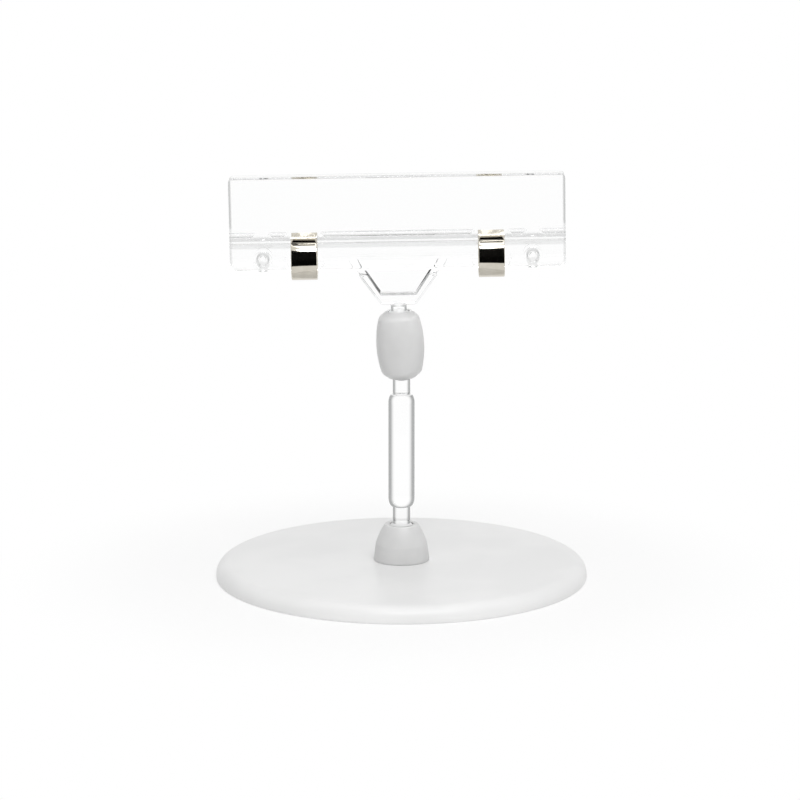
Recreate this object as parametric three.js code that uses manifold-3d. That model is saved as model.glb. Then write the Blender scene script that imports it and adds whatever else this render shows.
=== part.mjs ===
// A clear two-jaw card clip on a ball-jointed stem and a round desk base.
// Millimetres, +Z up. The origin is the centre of the base's underside.
// The clip's width runs along X and its front faces -Y.

import * as THREE from 'three';
import { mergeVertices } from 'three/addons/utils/BufferGeometryUtils.js';
import Module from 'manifold-3d';

// Base disc: a moulded white shell with ribs underneath
const discDiameter = 90;
const discHeight = 4;
const discSkin = 2;
const discShoulder = 3.2;
const discRimWall = 2;
const discRimBevel = 0.3;
const ribCount = 8;
const ribThickness = 1.4;
const ribDeskGap = 0.6;
const ringRibDiameter = 50;
const hubRibDiameter = 19;

// Base socket: a frosted bell that snaps through the disc and holds the stem's lower ball
const socketHeight = 8.9;
const socketFootDiameter = 13.5;
const socketFootEdge = 0.5;
const socketWallDiameter = 13.3;
const socketWaistDiameter = 12.5;
const socketWaistHeight = 4;
const socketBrowDiameter = 10.9;
const socketBrowHeight = 6.9;
const socketRimDiameter = 8;
const socketMouthDiameter = 5.8;
const socketBoreDiameter = 5.6;
const stubDiameter = 8.6;
const snapLipReach = 0.6;
const snapLipHeight = 1;
const snapSlotWidth = 1.2;

// Stem: a clear rod with a ball on each end
const stemDiameter = 6.35;
const stemBodyLength = 27.85;
const stemShoulder = 2.2;
const stemNeckDiameter = 4.2;
const lowerNeckLength = 4.35;
const upperNeckLength = 3.97;
const baseBallDiameter = 8;
const jointBallDiameter = 7;

// Connector: a frosted barrel with a ball socket in each end
const connectorLength = 16.3;
const connectorDiameter = 11.5;
const connectorShoulderDiameter = 9.6;
const connectorTaper = 1.3;
const connectorTipDiameter = 6.2;
const connectorMouthDiameter = 5.5;
const connectorFlare = 0.18;
const connectorBoreDiameter = 3;

// Clip jaws: two clear moulded plates that rock on a shared pivot line
const clipWidth = 80;
const gripHeight = 19.85;
const leverDrop = 2.55;
const jawGap = 0.3;
const plateThickness = 2.1;
const leadIn = 0.9;
const pivotLand = 0.8;
const upperCornerRadius = 1.5;
const lowerCornerRadius = 2.1;
const leverRoot = 0.7;
const leverFlare = 1.5;
const leverThickness = 2.2;
const springSeatReach = 2.7;
const beadHeight = 0.35;
const beadWidth = 0.3;
const grooveWidth = 2;
const grooveFloor = 1.1;
const bossSpacing = 64.4;
const bossDiameter = 4.6;
const bossProud = 0.6;
const pegHoleDiameter = 2.6;
const pegDiameter = 1.9;
const pegTipDiameter = 1.4;
const pegReach = 1.6;
const springPocketTopWidth = 10.6;
const springPocketBottomWidth = 7.2;
const pocketBevel = 1.1;
const springGapWidth = 8;
const bossGapWidth = 3;
const pocketFloorSet = 0.1;
const plateEdgeRadius = 0.5;
const leadInEdgeRadius = 0.25;
const rootFillet = 0.8;
const beadEdgeRadius = 0.2;
const leverEdgeRadius = 0.6;
const pivotEdgeRadius = 0.3;

// Yoke: the ribbed foot of the rear jaw that carries the clip's ball
const yokeDrop = 11.35;
const yokeTopWidth = 24.8;
const yokeBottomWidth = 8.2;
const yokeRib = 2.3;
const yokeRibFoot = 1.6;
const yokeBar = 2.4;
const yokeDepth = 4.4;
const yokeShelf = 4.15;
const yokeBackSet = 0.5;
const webThickness = 1.2;
const webSet = 0.7;
const clipNeckDiameter = 3.8;
const clipNeckLength = 1.83;
const clipNeckFlare = 0.6;
const yokeFootRadius = 1;
const windowRadius = 0.6;

// Springs: two bent strips that squeeze the jaws together
const springSpacing = 44.6;
const springWidth = 6.2;
const springThickness = 0.5;
const springRingDiameter = 10.6;
const springBendRadius = 0.6;
const springLip = 1.3;
const springLipAngle = 35;

// Fits and the pose that the holder stands in
const ballPlay = 0.3;
const seatGap = 0.3;
const connectorLeanAngle = 3.2;
const clipRollAngle = 0.96;

// Facet counts
const discSides = 72;
const turnedSides = 32;
const pegSides = 16;
const cornerSteps = 3;
const ballSteps = 9;

const wasm = await Module();
wasm.setup();

const radians = THREE.MathUtils.degToRad;

// A closed geometry as a solid for joining and cutting.
function toSolid(geometry) {
  const bare = geometry.index ? geometry.toNonIndexed() : geometry.clone();
  bare.deleteAttribute('normal');
  bare.deleteAttribute('uv');
  const merged = mergeVertices(bare, 1e-4);
  const corners = Array.from(merged.index.array);
  const triangles = [];
  for (let i = 0; i < corners.length; i += 3) {
    const [a, b, c] = corners.slice(i, i + 3);
    if (a !== b && b !== c && c !== a) triangles.push(a, b, c);
  }
  const mesh = new wasm.Mesh({
    numProp: 3,
    vertProperties: new Float32Array(merged.attributes.position.array),
    triVerts: new Uint32Array(triangles),
  });
  return new wasm.Manifold(mesh);
}

// A solid back as a drawable geometry.
function toGeometry(solid) {
  const mesh = solid.getMesh();
  const geometry = new THREE.BufferGeometry();
  geometry.setAttribute('position', new THREE.BufferAttribute(mesh.vertProperties, 3));
  geometry.setIndex(new THREE.BufferAttribute(mesh.triVerts, 1));
  geometry.computeVertexNormals();
  return geometry;
}

// Points on an arc, from one angle to another, in degrees.
function arc(centreX, centreY, radius, from, to, steps) {
  const points = [];
  for (let i = 0; i <= steps; i += 1) {
    const angle = radians(from + ((to - from) * i) / steps);
    const x = centreX + radius * Math.cos(angle);
    const y = centreY + radius * Math.sin(angle);
    points.push(new THREE.Vector2(x, y));
  }
  return points;
}

// A closed outline from corners [x, y, radius], with each corner rounded by an arc.
function roundedOutline(corners) {
  const points = [];
  corners.forEach(([x, y, radius], i) => {
    const corner = new THREE.Vector2(x, y);
    if (!radius) {
      points.push(corner);
      return;
    }
    const last = corners[(i + corners.length - 1) % corners.length];
    const next = corners[(i + 1) % corners.length];
    const back = new THREE.Vector2(last[0], last[1]).sub(corner);
    const ahead = new THREE.Vector2(next[0], next[1]).sub(corner);
    const half = Math.abs(Math.atan2(back.cross(ahead), back.dot(ahead))) / 2;
    const room = 0.45 * Math.min(back.length(), ahead.length());
    const cut = Math.min(radius / Math.tan(half), room);
    const start = corner.clone().addScaledVector(back.normalize(), cut);
    const end = corner.clone().addScaledVector(ahead.normalize(), cut);
    const curve = new THREE.QuadraticBezierCurve(start, corner, end);
    points.push(...curve.getPoints(cornerSteps));
  });
  return points;
}

// A profile of (radius, height) points turned about Z.
function turned(profile, sides) {
  return new THREE.LatheGeometry(profile, sides).rotateX(Math.PI / 2);
}

// A front-view outline (x, z), from y = back towards the front by depth.
function frontPrism(outline, back, depth) {
  const shape = new THREE.Shape(outline);
  const geometry = new THREE.ExtrudeGeometry(shape, { depth, bevelEnabled: false });
  return geometry.rotateX(Math.PI / 2).translate(0, back, 0);
}

// A side-view outline (y, z), centred on x and as wide as width.
function sidePrism(outline, x, width) {
  const shape = new THREE.Shape(outline);
  const geometry = new THREE.ExtrudeGeometry(shape, { depth: width, bevelEnabled: false });
  const alongX = new THREE.Matrix4().makeBasis(
    new THREE.Vector3(0, 1, 0),
    new THREE.Vector3(0, 0, 1),
    new THREE.Vector3(1, 0, 0),
  );
  return geometry.applyMatrix4(alongX).translate(x - width / 2, 0, 0);
}

// A round pin along Y between two depths, with its own radius at each end.
function pinAlongY(x, z, near, far, nearRadius, farRadius) {
  const pin = new THREE.CylinderGeometry(farRadius, nearRadius, far - near, pegSides);
  return pin.translate(x, (near + far) / 2, z);
}

// How far below its rim a ball socket of this radius is centred.
function mouthDepth(socketRadius, mouthRadius) {
  return Math.sqrt(socketRadius ** 2 - mouthRadius ** 2);
}

// Heights and radii that follow from the sizes above
const baseSocketRadius = baseBallDiameter / 2 + ballPlay;
const baseMouthDepth = mouthDepth(baseSocketRadius, socketMouthDiameter / 2);
const baseBallHeight = discHeight + socketHeight - baseMouthDepth;
const jointSocketRadius = jointBallDiameter / 2 + ballPlay;
const jointMouthDepth = mouthDepth(jointSocketRadius, connectorMouthDiameter / 2) + connectorFlare;
const stemBodyStart = baseMouthDepth + lowerNeckLength;
const stemBodyEnd = stemBodyStart + stemBodyLength;
const stemBallSpacing = stemBodyEnd + upperNeckLength + jointMouthDepth;
const connectorBallSpacing = connectorLength - 2 * jointMouthDepth;
const pivotOverBall = yokeDrop + clipNeckLength + jointMouthDepth;
const halfGap = jawGap / 2;
const plateReach = halfGap + plateThickness;
const beadReach = springSeatReach + beadHeight;
const ringRadius = springRingDiameter / 2 - springThickness / 2;
const pinchReach = springSeatReach + seatGap + springThickness / 2;
const bendAngle = Math.acos((pinchReach + springBendRadius) / (ringRadius + springBendRadius));
const pinchHeight = (ringRadius + springBendRadius) * Math.sin(bendAngle);

// White shell: flat top, rounded shoulder, open ribbed underside and a hole for the socket's stub.
function baseDisc() {
  const rim = discDiameter / 2;
  const hole = stubDiameter / 2 + seatGap;
  const underside = discHeight - discSkin;
  const rib = ribThickness / 2;
  const ringRib = ringRibDiameter / 2;
  const hubRib = hubRibDiameter / 2;
  const shoulder = arc(rim - discShoulder, discHeight - discShoulder, discShoulder, 90, 0, 8);
  const profile = [
    new THREE.Vector2(hole, discHeight),
    ...shoulder,
    new THREE.Vector2(rim, discRimBevel),
    new THREE.Vector2(rim - discRimBevel, 0),
    new THREE.Vector2(rim - discRimWall, 0),
    new THREE.Vector2(rim - discRimWall - discRimBevel, underside - discRimBevel),
    new THREE.Vector2(rim - discRimWall - 2 * discRimBevel, underside),
    new THREE.Vector2(ringRib + rib, underside),
    new THREE.Vector2(ringRib + rib, ribDeskGap),
    new THREE.Vector2(ringRib - rib, ribDeskGap),
    new THREE.Vector2(ringRib - rib, underside),
    new THREE.Vector2(hubRib + rib, underside),
    new THREE.Vector2(hubRib + rib, ribDeskGap),
    new THREE.Vector2(hubRib - rib, ribDeskGap),
    new THREE.Vector2(hubRib - rib, underside),
    new THREE.Vector2(hole, underside),
    new THREE.Vector2(hole, discHeight),
  ];
  let solid = toSolid(turned(profile.reverse(), discSides));
  const skinOverlap = discSkin / 2;
  const ribLength = rim - discRimWall - hubRib;
  const ribHeight = underside + skinOverlap - ribDeskGap;
  for (let i = 0; i < ribCount; i += 1) {
    const spoke = new THREE.BoxGeometry(ribLength, ribThickness, ribHeight);
    spoke.translate(hubRib + ribLength / 2, 0, ribDeskGap + ribHeight / 2);
    spoke.rotateZ((2 * Math.PI * (i + 0.5)) / ribCount);
    solid = solid.add(toSolid(spoke));
  }
  return toGeometry(solid);
}

// Frosted bell with a spherical seat, and a slotted stub whose lip snaps under the disc's skin.
function baseSocket() {
  const top = discHeight + socketHeight;
  const foot = socketFootDiameter / 2;
  const bore = socketBoreDiameter / 2;
  const stub = stubDiameter / 2;
  const lip = stub + seatGap + snapLipReach;
  const lipTop = discHeight - discSkin - seatGap;
  const stubEnd = lipTop - snapLipHeight;
  const waist = new THREE.Vector2(socketWaistDiameter / 2, discHeight + socketWaistHeight);
  const rim = new THREE.Vector2(socketRimDiameter / 2, top);
  const brow = new THREE.Vector2(socketBrowDiameter / 2, discHeight + socketBrowHeight);
  const crown = new THREE.QuadraticBezierCurve(waist, brow, rim).getPoints(7);
  const mouthAngle = THREE.MathUtils.radToDeg(Math.asin(baseMouthDepth / baseSocketRadius));
  const boreAngle = -THREE.MathUtils.radToDeg(Math.acos(bore / baseSocketRadius));
  const seat = arc(0, baseBallHeight, baseSocketRadius, mouthAngle, boreAngle, ballSteps);
  const profile = [
    new THREE.Vector2(stub, discHeight),
    new THREE.Vector2(foot, discHeight),
    new THREE.Vector2(foot, discHeight + socketFootEdge),
    new THREE.Vector2(socketWallDiameter / 2, discHeight + 2 * socketFootEdge),
    ...crown,
    ...seat,
    new THREE.Vector2(bore, stubEnd),
    new THREE.Vector2(stub - snapLipReach / 2, stubEnd),
    new THREE.Vector2(lip, lipTop - snapLipHeight / 3),
    new THREE.Vector2(lip, lipTop),
    new THREE.Vector2(stub, lipTop),
    new THREE.Vector2(stub, discHeight),
  ];
  let solid = toSolid(turned(profile, turnedSides));
  const slotHeight = discHeight - seatGap - stubEnd;
  for (const turn of [0, Math.PI / 2]) {
    const slot = new THREE.BoxGeometry(3 * lip, snapSlotWidth, 2 * slotHeight);
    slot.rotateZ(turn).translate(0, 0, stubEnd);
    solid = solid.subtract(toSolid(slot));
  }
  return toGeometry(solid);
}

// Clear rod about its lower ball: ball, neck, rounded shoulders, body, neck and upper ball.
function stem() {
  const neck = stemNeckDiameter / 2;
  const body = stemDiameter / 2;
  const lowerBall = baseBallDiameter / 2;
  const upperBall = jointBallDiameter / 2;
  const lowerStart = THREE.MathUtils.radToDeg(Math.acos(neck / lowerBall));
  const upperStart = THREE.MathUtils.radToDeg(Math.acos(neck / upperBall));
  const shoulderSteps = 5;
  const lowerShoulder = [];
  const upperShoulder = [];
  for (let i = 0; i <= shoulderSteps; i += 1) {
    const angle = ((Math.PI / 2) * i) / shoulderSteps;
    const out = neck + (body - neck) * Math.sin(angle);
    const rise = stemShoulder * (1 - Math.cos(angle));
    lowerShoulder.push(new THREE.Vector2(out, stemBodyStart + rise));
    upperShoulder.unshift(new THREE.Vector2(out, stemBodyEnd - rise));
  }
  const profile = [
    ...arc(0, 0, lowerBall, -90, lowerStart, ballSteps),
    ...lowerShoulder,
    ...upperShoulder,
    ...arc(0, stemBallSpacing, upperBall, -upperStart, 90, ballSteps),
  ];
  profile[0].x = 0;
  profile[profile.length - 1].x = 0;
  return turned(profile, turnedSides);
}

// Frosted barrel about its lower ball: swelling wall, tapered tips, two spherical seats and a bore.
function connector() {
  const bottom = -jointMouthDepth;
  const top = bottom + connectorLength;
  const tip = connectorTipDiameter / 2;
  const shoulder = connectorShoulderDiameter / 2;
  const swell = (connectorDiameter - connectorShoulderDiameter) / 2;
  const flare = connectorMouthDiameter / 2 + connectorFlare;
  const bore = connectorBoreDiameter / 2;
  const mouth = connectorMouthDiameter / 2;
  const mouthAngle = THREE.MathUtils.radToDeg(Math.acos(mouth / jointSocketRadius));
  const boreAngle = THREE.MathUtils.radToDeg(Math.acos(bore / jointSocketRadius));
  const wallSteps = 8;
  const wall = [];
  for (let i = 0; i <= wallSteps; i += 1) {
    const along = i / wallSteps;
    const bulge = 1 - (2 * along - 1) ** 2;
    const height = bottom + connectorTaper + (connectorLength - 2 * connectorTaper) * along;
    wall.push(new THREE.Vector2(shoulder + swell * bulge, height));
  }
  const profile = [
    new THREE.Vector2(flare, bottom),
    new THREE.Vector2(tip, bottom),
    ...wall,
    new THREE.Vector2(tip, top),
    new THREE.Vector2(flare, top),
    ...arc(0, connectorBallSpacing, jointSocketRadius, mouthAngle, -boreAngle, ballSteps),
    ...arc(0, 0, jointSocketRadius, boreAngle, -mouthAngle, ballSteps),
    new THREE.Vector2(flare, bottom),
  ];
  return turned(profile, turnedSides);
}

// One jaw about the pivot line: side = -1 is the front jaw, side = 1 the rear one.
// Its section has a lead-in on top of a flat grip face, a spring groove between two beads
// and a flared lever below.
function jawBlank(side) {
  const grooveTop = pinchHeight + grooveWidth / 2;
  const grooveBottom = pinchHeight - grooveWidth / 2;
  const beadTop = grooveTop + beadWidth;
  const leverReach = beadReach + leverFlare;
  const section = [
    [halfGap + leadIn, gripHeight, leadInEdgeRadius],
    [plateReach, gripHeight, plateEdgeRadius],
    [plateReach, beadTop + beadReach - plateReach, rootFillet],
    [beadReach, beadTop, beadEdgeRadius],
    [beadReach, grooveTop, beadEdgeRadius],
    [springSeatReach, pinchHeight + grooveFloor / 2, beadEdgeRadius],
    [springSeatReach, pinchHeight - grooveFloor / 2, beadEdgeRadius],
    [beadReach, grooveBottom, beadEdgeRadius],
    [beadReach, leverRoot, rootFillet],
    [leverReach, -leverDrop, leverEdgeRadius],
    [leverReach - leverThickness, -leverDrop, leverEdgeRadius],
    [halfGap, -pivotLand / 2, pivotEdgeRadius],
    [halfGap, gripHeight - leadIn, leadInEdgeRadius],
  ].map(([reach, height, radius]) => [side * reach, height, radius]);
  const half = clipWidth / 2;
  const face = [
    [-half, -leverDrop, lowerCornerRadius],
    [half, -leverDrop, lowerCornerRadius],
    [half, gripHeight, upperCornerRadius],
    [-half, gripHeight, upperCornerRadius],
  ];
  const depth = 2 * (leverReach + jawGap);
  const bar = toSolid(sidePrism(roundedOutline(section), 0, clipWidth + 2));
  let solid = bar.intersect(toSolid(frontPrism(roundedOutline(face), depth / 2, depth)));
  const bossFace = side * (beadReach + bossProud);
  for (const x of [-bossSpacing / 2, bossSpacing / 2]) {
    const [near, far] = [side * plateReach, bossFace].sort((a, b) => a - b);
    const boss = pinAlongY(x, 0, near, far, bossDiameter / 2, bossDiameter / 2);
    solid = solid.add(toSolid(boss));
    solid = solid.subtract(toSolid(beadGap(x, bossGapWidth, side)));
  }
  for (const x of [-springSpacing / 2, springSpacing / 2]) {
    solid = solid.subtract(toSolid(beadGap(x, springGapWidth, side)));
    solid = solid.subtract(toSolid(springPocket(x, side)));
  }
  return solid;
}

// The gap in the upper bead at x, with bevelled ends, down to the plate's face.
function beadGap(x, width, side) {
  const floor = side * plateReach;
  const mouth = side * (plateReach + 2 * (beadReach - plateReach));
  const outline = [
    new THREE.Vector2(x - width / 2, -floor),
    new THREE.Vector2(x + width / 2, -floor),
    new THREE.Vector2(x + width / 2 + 2 * pocketBevel, -mouth),
    new THREE.Vector2(x - width / 2 - 2 * pocketBevel, -mouth),
  ];
  const bottom = pinchHeight + (grooveWidth + grooveFloor) / 4;
  const depth = grooveWidth + 2 * beadWidth + beadReach;
  const geometry = new THREE.ExtrudeGeometry(new THREE.Shape(outline), { depth, bevelEnabled: false });
  return geometry.rotateX(Math.PI).translate(0, 0, bottom + depth);
}

// The pocket in the flared lever that lets a spring pass, narrower at its foot.
function springPocket(x, side) {
  const top = springPocketTopWidth / 2;
  const foot = springPocketBottomWidth / 2;
  const under = -leverDrop - leverThickness;
  const outline = [
    new THREE.Vector2(x - foot, under),
    new THREE.Vector2(x + foot, under),
    new THREE.Vector2(x + foot, -leverDrop),
    new THREE.Vector2(x + top, leverRoot),
    new THREE.Vector2(x - top, leverRoot),
    new THREE.Vector2(x - foot, -leverDrop),
  ];
  const floor = beadReach + pocketFloorSet;
  const depth = leverFlare + leverThickness;
  return frontPrism(outline, side < 0 ? -floor : floor + depth, depth);
}

// Front jaw: a plain jaw with a hole through each boss.
function frontJaw() {
  let solid = jawBlank(-1);
  const reach = beadReach + leverFlare + bossProud;
  for (const x of [-bossSpacing / 2, bossSpacing / 2]) {
    const hole = pinAlongY(x, 0, -reach, reach, pegHoleDiameter / 2, pegHoleDiameter / 2);
    solid = solid.subtract(toSolid(hole));
  }
  return toGeometry(solid);
}

// Rear jaw: a jaw with two pegs, and the yoke, neck and ball below it in the same moulding.
function rearJaw() {
  let solid = jawBlank(1);
  for (const x of [-bossSpacing / 2, bossSpacing / 2]) {
    const peg = pinAlongY(x, 0, -pegReach, plateReach / 2, pegTipDiameter / 2, pegDiameter / 2);
    solid = solid.add(toSolid(peg));
  }
  return toGeometry(solid.add(yoke()).add(ballStud()));
}

// A slanted-sided frame with a thin web, cut back above where the front lever swings.
function yoke() {
  const top = yokeTopWidth / 2;
  const foot = yokeBottomWidth / 2;
  const slope = (top - foot) / yokeDrop;
  const innerFoot = foot + slope * yokeBar - yokeRibFoot;
  const rise = pivotLand / 2;
  const outer = roundedOutline([
    [-foot, -yokeDrop, yokeFootRadius],
    [foot, -yokeDrop, yokeFootRadius],
    [top + slope * rise, rise, 0],
    [-top - slope * rise, rise, 0],
  ]);
  const inner = roundedOutline([
    [-innerFoot, yokeBar - yokeDrop, windowRadius],
    [innerFoot, yokeBar - yokeDrop, windowRadius],
    [top - yokeRib, 0, windowRadius],
    [yokeRib - top, 0, windowRadius],
  ]);
  const half = yokeDepth / 2;
  const frame = toSolid(frontPrism(outer, half, yokeDepth));
  const window = toSolid(frontPrism(inner, yokeDepth, 2 * yokeDepth));
  const swing = new THREE.BoxGeometry(2 * yokeTopWidth, 2 * yokeDepth, yokeDrop);
  swing.translate(0, yokeBackSet - yokeDepth, yokeDrop / 2 - yokeShelf);
  const ribs = frame.subtract(window).subtract(toSolid(swing));
  const web = toSolid(frontPrism(outer, webSet + webThickness, webThickness));
  return ribs.add(web);
}

// Ball and neck under the yoke's bar, turned about the clip's axis.
function ballStud() {
  const ball = jointBallDiameter / 2;
  const neck = clipNeckDiameter / 2;
  const start = THREE.MathUtils.radToDeg(Math.acos(neck / ball));
  const profile = [
    ...arc(0, -pivotOverBall, ball, -90, start, ballSteps),
    new THREE.Vector2(neck, -yokeDrop - clipNeckFlare),
    new THREE.Vector2(neck + clipNeckFlare / 2, -yokeDrop),
    new THREE.Vector2(neck + clipNeckFlare / 2, -yokeDrop + yokeBar / 2),
    new THREE.Vector2(0, -yokeDrop + yokeBar / 2),
  ];
  profile[0].x = 0;
  return toSolid(turned(profile, turnedSides));
}

// A strip bent into a C that opens upwards, pinched at the top with flared lips.
function spring() {
  const half = springThickness / 2;
  const ringSteps = 12;
  const bendSteps = 6;
  const bend = THREE.MathUtils.radToDeg(bendAngle);
  const path = [];
  for (let i = 0; i <= ringSteps; i += 1) {
    const angle = radians(-90 + ((90 + bend) * i) / ringSteps);
    const out = new THREE.Vector2(Math.cos(angle), Math.sin(angle));
    path.push({ at: out.clone().multiplyScalar(ringRadius), out });
  }
  const bendCentre = new THREE.Vector2(pinchReach + springBendRadius, pinchHeight);
  for (let i = 1; i <= bendSteps; i += 1) {
    const angle = radians(180 + bend - ((bend + springLipAngle) * i) / bendSteps);
    const out = new THREE.Vector2(-Math.cos(angle), -Math.sin(angle));
    path.push({ at: bendCentre.clone().addScaledVector(out, -springBendRadius), out });
  }
  const { at, out } = path[path.length - 1];
  const along = new THREE.Vector2(-out.y, out.x);
  path.push({ at: at.clone().addScaledVector(along, springLip), out });
  const outside = path.map((step) => step.at.clone().addScaledVector(step.out, half));
  const inside = path.map((step) => step.at.clone().addScaledVector(step.out, -half));
  const rightHalf = [...outside, ...inside.reverse()];
  const leftHalf = rightHalf.map((point) => new THREE.Vector2(-point.x, point.y)).reverse();
  const bottomShared = (point) => Math.abs(point.x) > springThickness / 1000;
  const outline = [...rightHalf, ...leftHalf.filter(bottomShared)];
  return sidePrism(outline, 0, springWidth);
}

// Finishes
const white = { color: 0xe9e9e9, roughness: 0.45, metalness: 0 };
const frosted = { color: 0xd4d4d2, roughness: 0.6, metalness: 0 };
const clear = { color: 0xf4f6f6, roughness: 0.05, metalness: 0, transparent: true, opacity: 0.3 };
const nickel = { color: 0xc9c4b8, roughness: 0.12, metalness: 1 };

function piece(name, geometry, finish) {
  const mesh = new THREE.Mesh(geometry, new THREE.MeshStandardMaterial(finish));
  mesh.name = name;
  return mesh;
}

// The clip, about its ball: both jaws and both springs stand on the pivot line.
const clip = new THREE.Group();
clip.position.z = connectorBallSpacing;
clip.rotation.y = radians(connectorLeanAngle - clipRollAngle);
const pivot = new THREE.Group();
pivot.position.z = pivotOverBall;
pivot.add(piece('rear_jaw', rearJaw(), clear));
pivot.add(piece('front_jaw', frontJaw(), clear));
for (const [name, side] of [['spring_left', -1], ['spring_right', 1]]) {
  const strip = piece(name, spring(), nickel);
  strip.position.x = (side * springSpacing) / 2;
  pivot.add(strip);
}
clip.add(pivot);

// The connector, about the stem's upper ball.
const barrel = new THREE.Group();
barrel.position.z = stemBallSpacing;
barrel.rotation.y = radians(-connectorLeanAngle);
barrel.add(piece('connector', connector(), frosted));
barrel.add(clip);

// The stem, about its lower ball.
const post = new THREE.Group();
post.position.z = baseBallHeight;
post.add(piece('stem', stem(), clear));
post.add(barrel);

const holder = new THREE.Group();
holder.add(piece('base_disc', baseDisc(), white));
holder.add(piece('base_socket', baseSocket(), frosted));
holder.add(post);

export default holder;
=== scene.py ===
"""Postcard holder, dressed for rendering.

A clear two-jaw card clip, squeezed shut by two nickel strips, stands on a ball-jointed clear stem with a
frosted connector and a round white desk base. Sizes are in millimetres, and meshes are written in metres.
"""

from __future__ import annotations

import logging
import math
from dataclasses import dataclass
from enum import Enum
from typing import Any, Iterable, Mapping, Sequence

import bmesh
import bpy
from mathutils import Matrix, Vector


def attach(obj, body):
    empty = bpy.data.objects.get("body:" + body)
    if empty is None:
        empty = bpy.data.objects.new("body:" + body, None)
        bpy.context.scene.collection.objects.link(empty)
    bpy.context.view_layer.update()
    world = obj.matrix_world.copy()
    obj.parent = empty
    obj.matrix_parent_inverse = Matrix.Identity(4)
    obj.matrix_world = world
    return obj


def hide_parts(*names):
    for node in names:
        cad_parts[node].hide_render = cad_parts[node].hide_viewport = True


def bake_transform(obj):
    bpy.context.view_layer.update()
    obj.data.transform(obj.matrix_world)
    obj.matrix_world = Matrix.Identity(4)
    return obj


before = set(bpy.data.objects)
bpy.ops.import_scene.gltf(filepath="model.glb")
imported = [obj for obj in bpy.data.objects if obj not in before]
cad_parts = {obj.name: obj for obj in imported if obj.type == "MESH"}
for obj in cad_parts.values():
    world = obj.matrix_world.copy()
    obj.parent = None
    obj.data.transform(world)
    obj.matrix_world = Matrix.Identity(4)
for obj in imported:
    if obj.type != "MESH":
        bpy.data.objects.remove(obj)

LOG = logging.getLogger("postcard_holder")
MM = 0.001
TO_METRES = Matrix.Scale(MM, 4)
TO_MILLIMETRES = Matrix.Scale(1 / MM, 4)
WHITE = (1, 1, 1, 1)

# Chords of a quarter or half turn in a profile, and facets of a piece round its axis
ARC_STEPS = 24
BALL_STEPS = 40
BALL_SIDES = 96
ROD_SIDES = 128
# The most of a side that one rounded corner takes up
CORNER_REACH = 0.45

Pair = tuple[float, float]
Triple = tuple[float, float, float]
# A profile's point, a point with the radius of its rounding, and a colour
Point = Pair
Corner = Triple
Colour = Triple


class Slot(Enum):
    """The material slots, by name."""

    WHITE = "white_plastic"
    FROSTED = "frosted_plastic"
    CLEAR = "clear_plastic"
    NICKEL = "nickel_strip"


class Look(Enum):
    """The finishes, by the name of each one's material."""

    WHITE = "white_plastic"
    FROSTED = "frosted_plastic"
    BALL = "ground_ball"
    ROD = "clear_rod"
    FRONT_JAW = "clear_front_jaw"
    REAR_JAW = "clear_rear_jaw"
    NICKEL = "nickel_strip"


class Side(Enum):
    """Which jaw of the clip, as the sign of its depth."""

    FRONT = -1
    REAR = 1


class Join(Enum):
    """How one solid is combined with another."""

    ADD = "UNION"
    CUT = "DIFFERENCE"
    COMMON = "INTERSECT"


class Value:
    """A node's output that takes part in Python arithmetic."""

    def __init__(self, graph: Graph, socket: bpy.types.NodeSocket) -> None:
        """Wrap one output socket of a graph."""
        self.graph = graph
        self.socket = socket

    def _math(self, operation: str, *terms: Value | float) -> Value:
        """The result of a new Math node with the given terms."""
        return self.graph.value("ShaderNodeMath", 0, {"operation": operation}, dict(enumerate(terms)))

    def __add__(self, other: Value | float) -> Value:
        """Sum."""
        return self._math("ADD", self, other)

    def __radd__(self, other: float) -> Value:
        """Sum, with the number first."""
        return self._math("ADD", other, self)

    def __sub__(self, other: Value | float) -> Value:
        """Difference."""
        return self._math("SUBTRACT", self, other)

    def __rsub__(self, other: float) -> Value:
        """Difference, with the number first."""
        return self._math("SUBTRACT", other, self)

    def __mul__(self, other: Value | float) -> Value:
        """Product."""
        return self._math("MULTIPLY", self, other)

    def __rmul__(self, other: float) -> Value:
        """Product, with the number first."""
        return self._math("MULTIPLY", other, self)

    def __truediv__(self, other: Value | float) -> Value:
        """Quotient."""
        return self._math("DIVIDE", self, other)

    def __rtruediv__(self, other: float) -> Value:
        """Quotient, with the number first."""
        return self._math("DIVIDE", other, self)

    def __abs__(self) -> Value:
        """The size without its sign."""
        return self._math("ABSOLUTE", self)

    def floor(self) -> Value:
        """The whole number below."""
        return self._math("FLOOR", self)

    def sine(self) -> Value:
        """Sine of an angle in radians."""
        return self._math("SINE", self)

    def cosine(self) -> Value:
        """Cosine of an angle in radians."""
        return self._math("COSINE", self)

    def larger(self, other: Value | float) -> Value:
        """The larger of two."""
        return self._math("MAXIMUM", self, other)

    def above(self, level: float) -> Value:
        """1 where it is above a level, and 0 elsewhere."""
        return self._math("GREATER_THAN", self, level)

    def rise(self, low: float, high: float) -> Value:
        """A smooth step.

        Args:
            low: Where it leaves 0.
            high: Where it reaches 1.

        Returns:
            The step's value.
        """
        settings = {"interpolation_type": "SMOOTHSTEP"}
        sockets = {"Value": self, "From Min": low, "From Max": high}
        return self.graph.value("ShaderNodeMapRange", "Result", settings, sockets)


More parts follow.
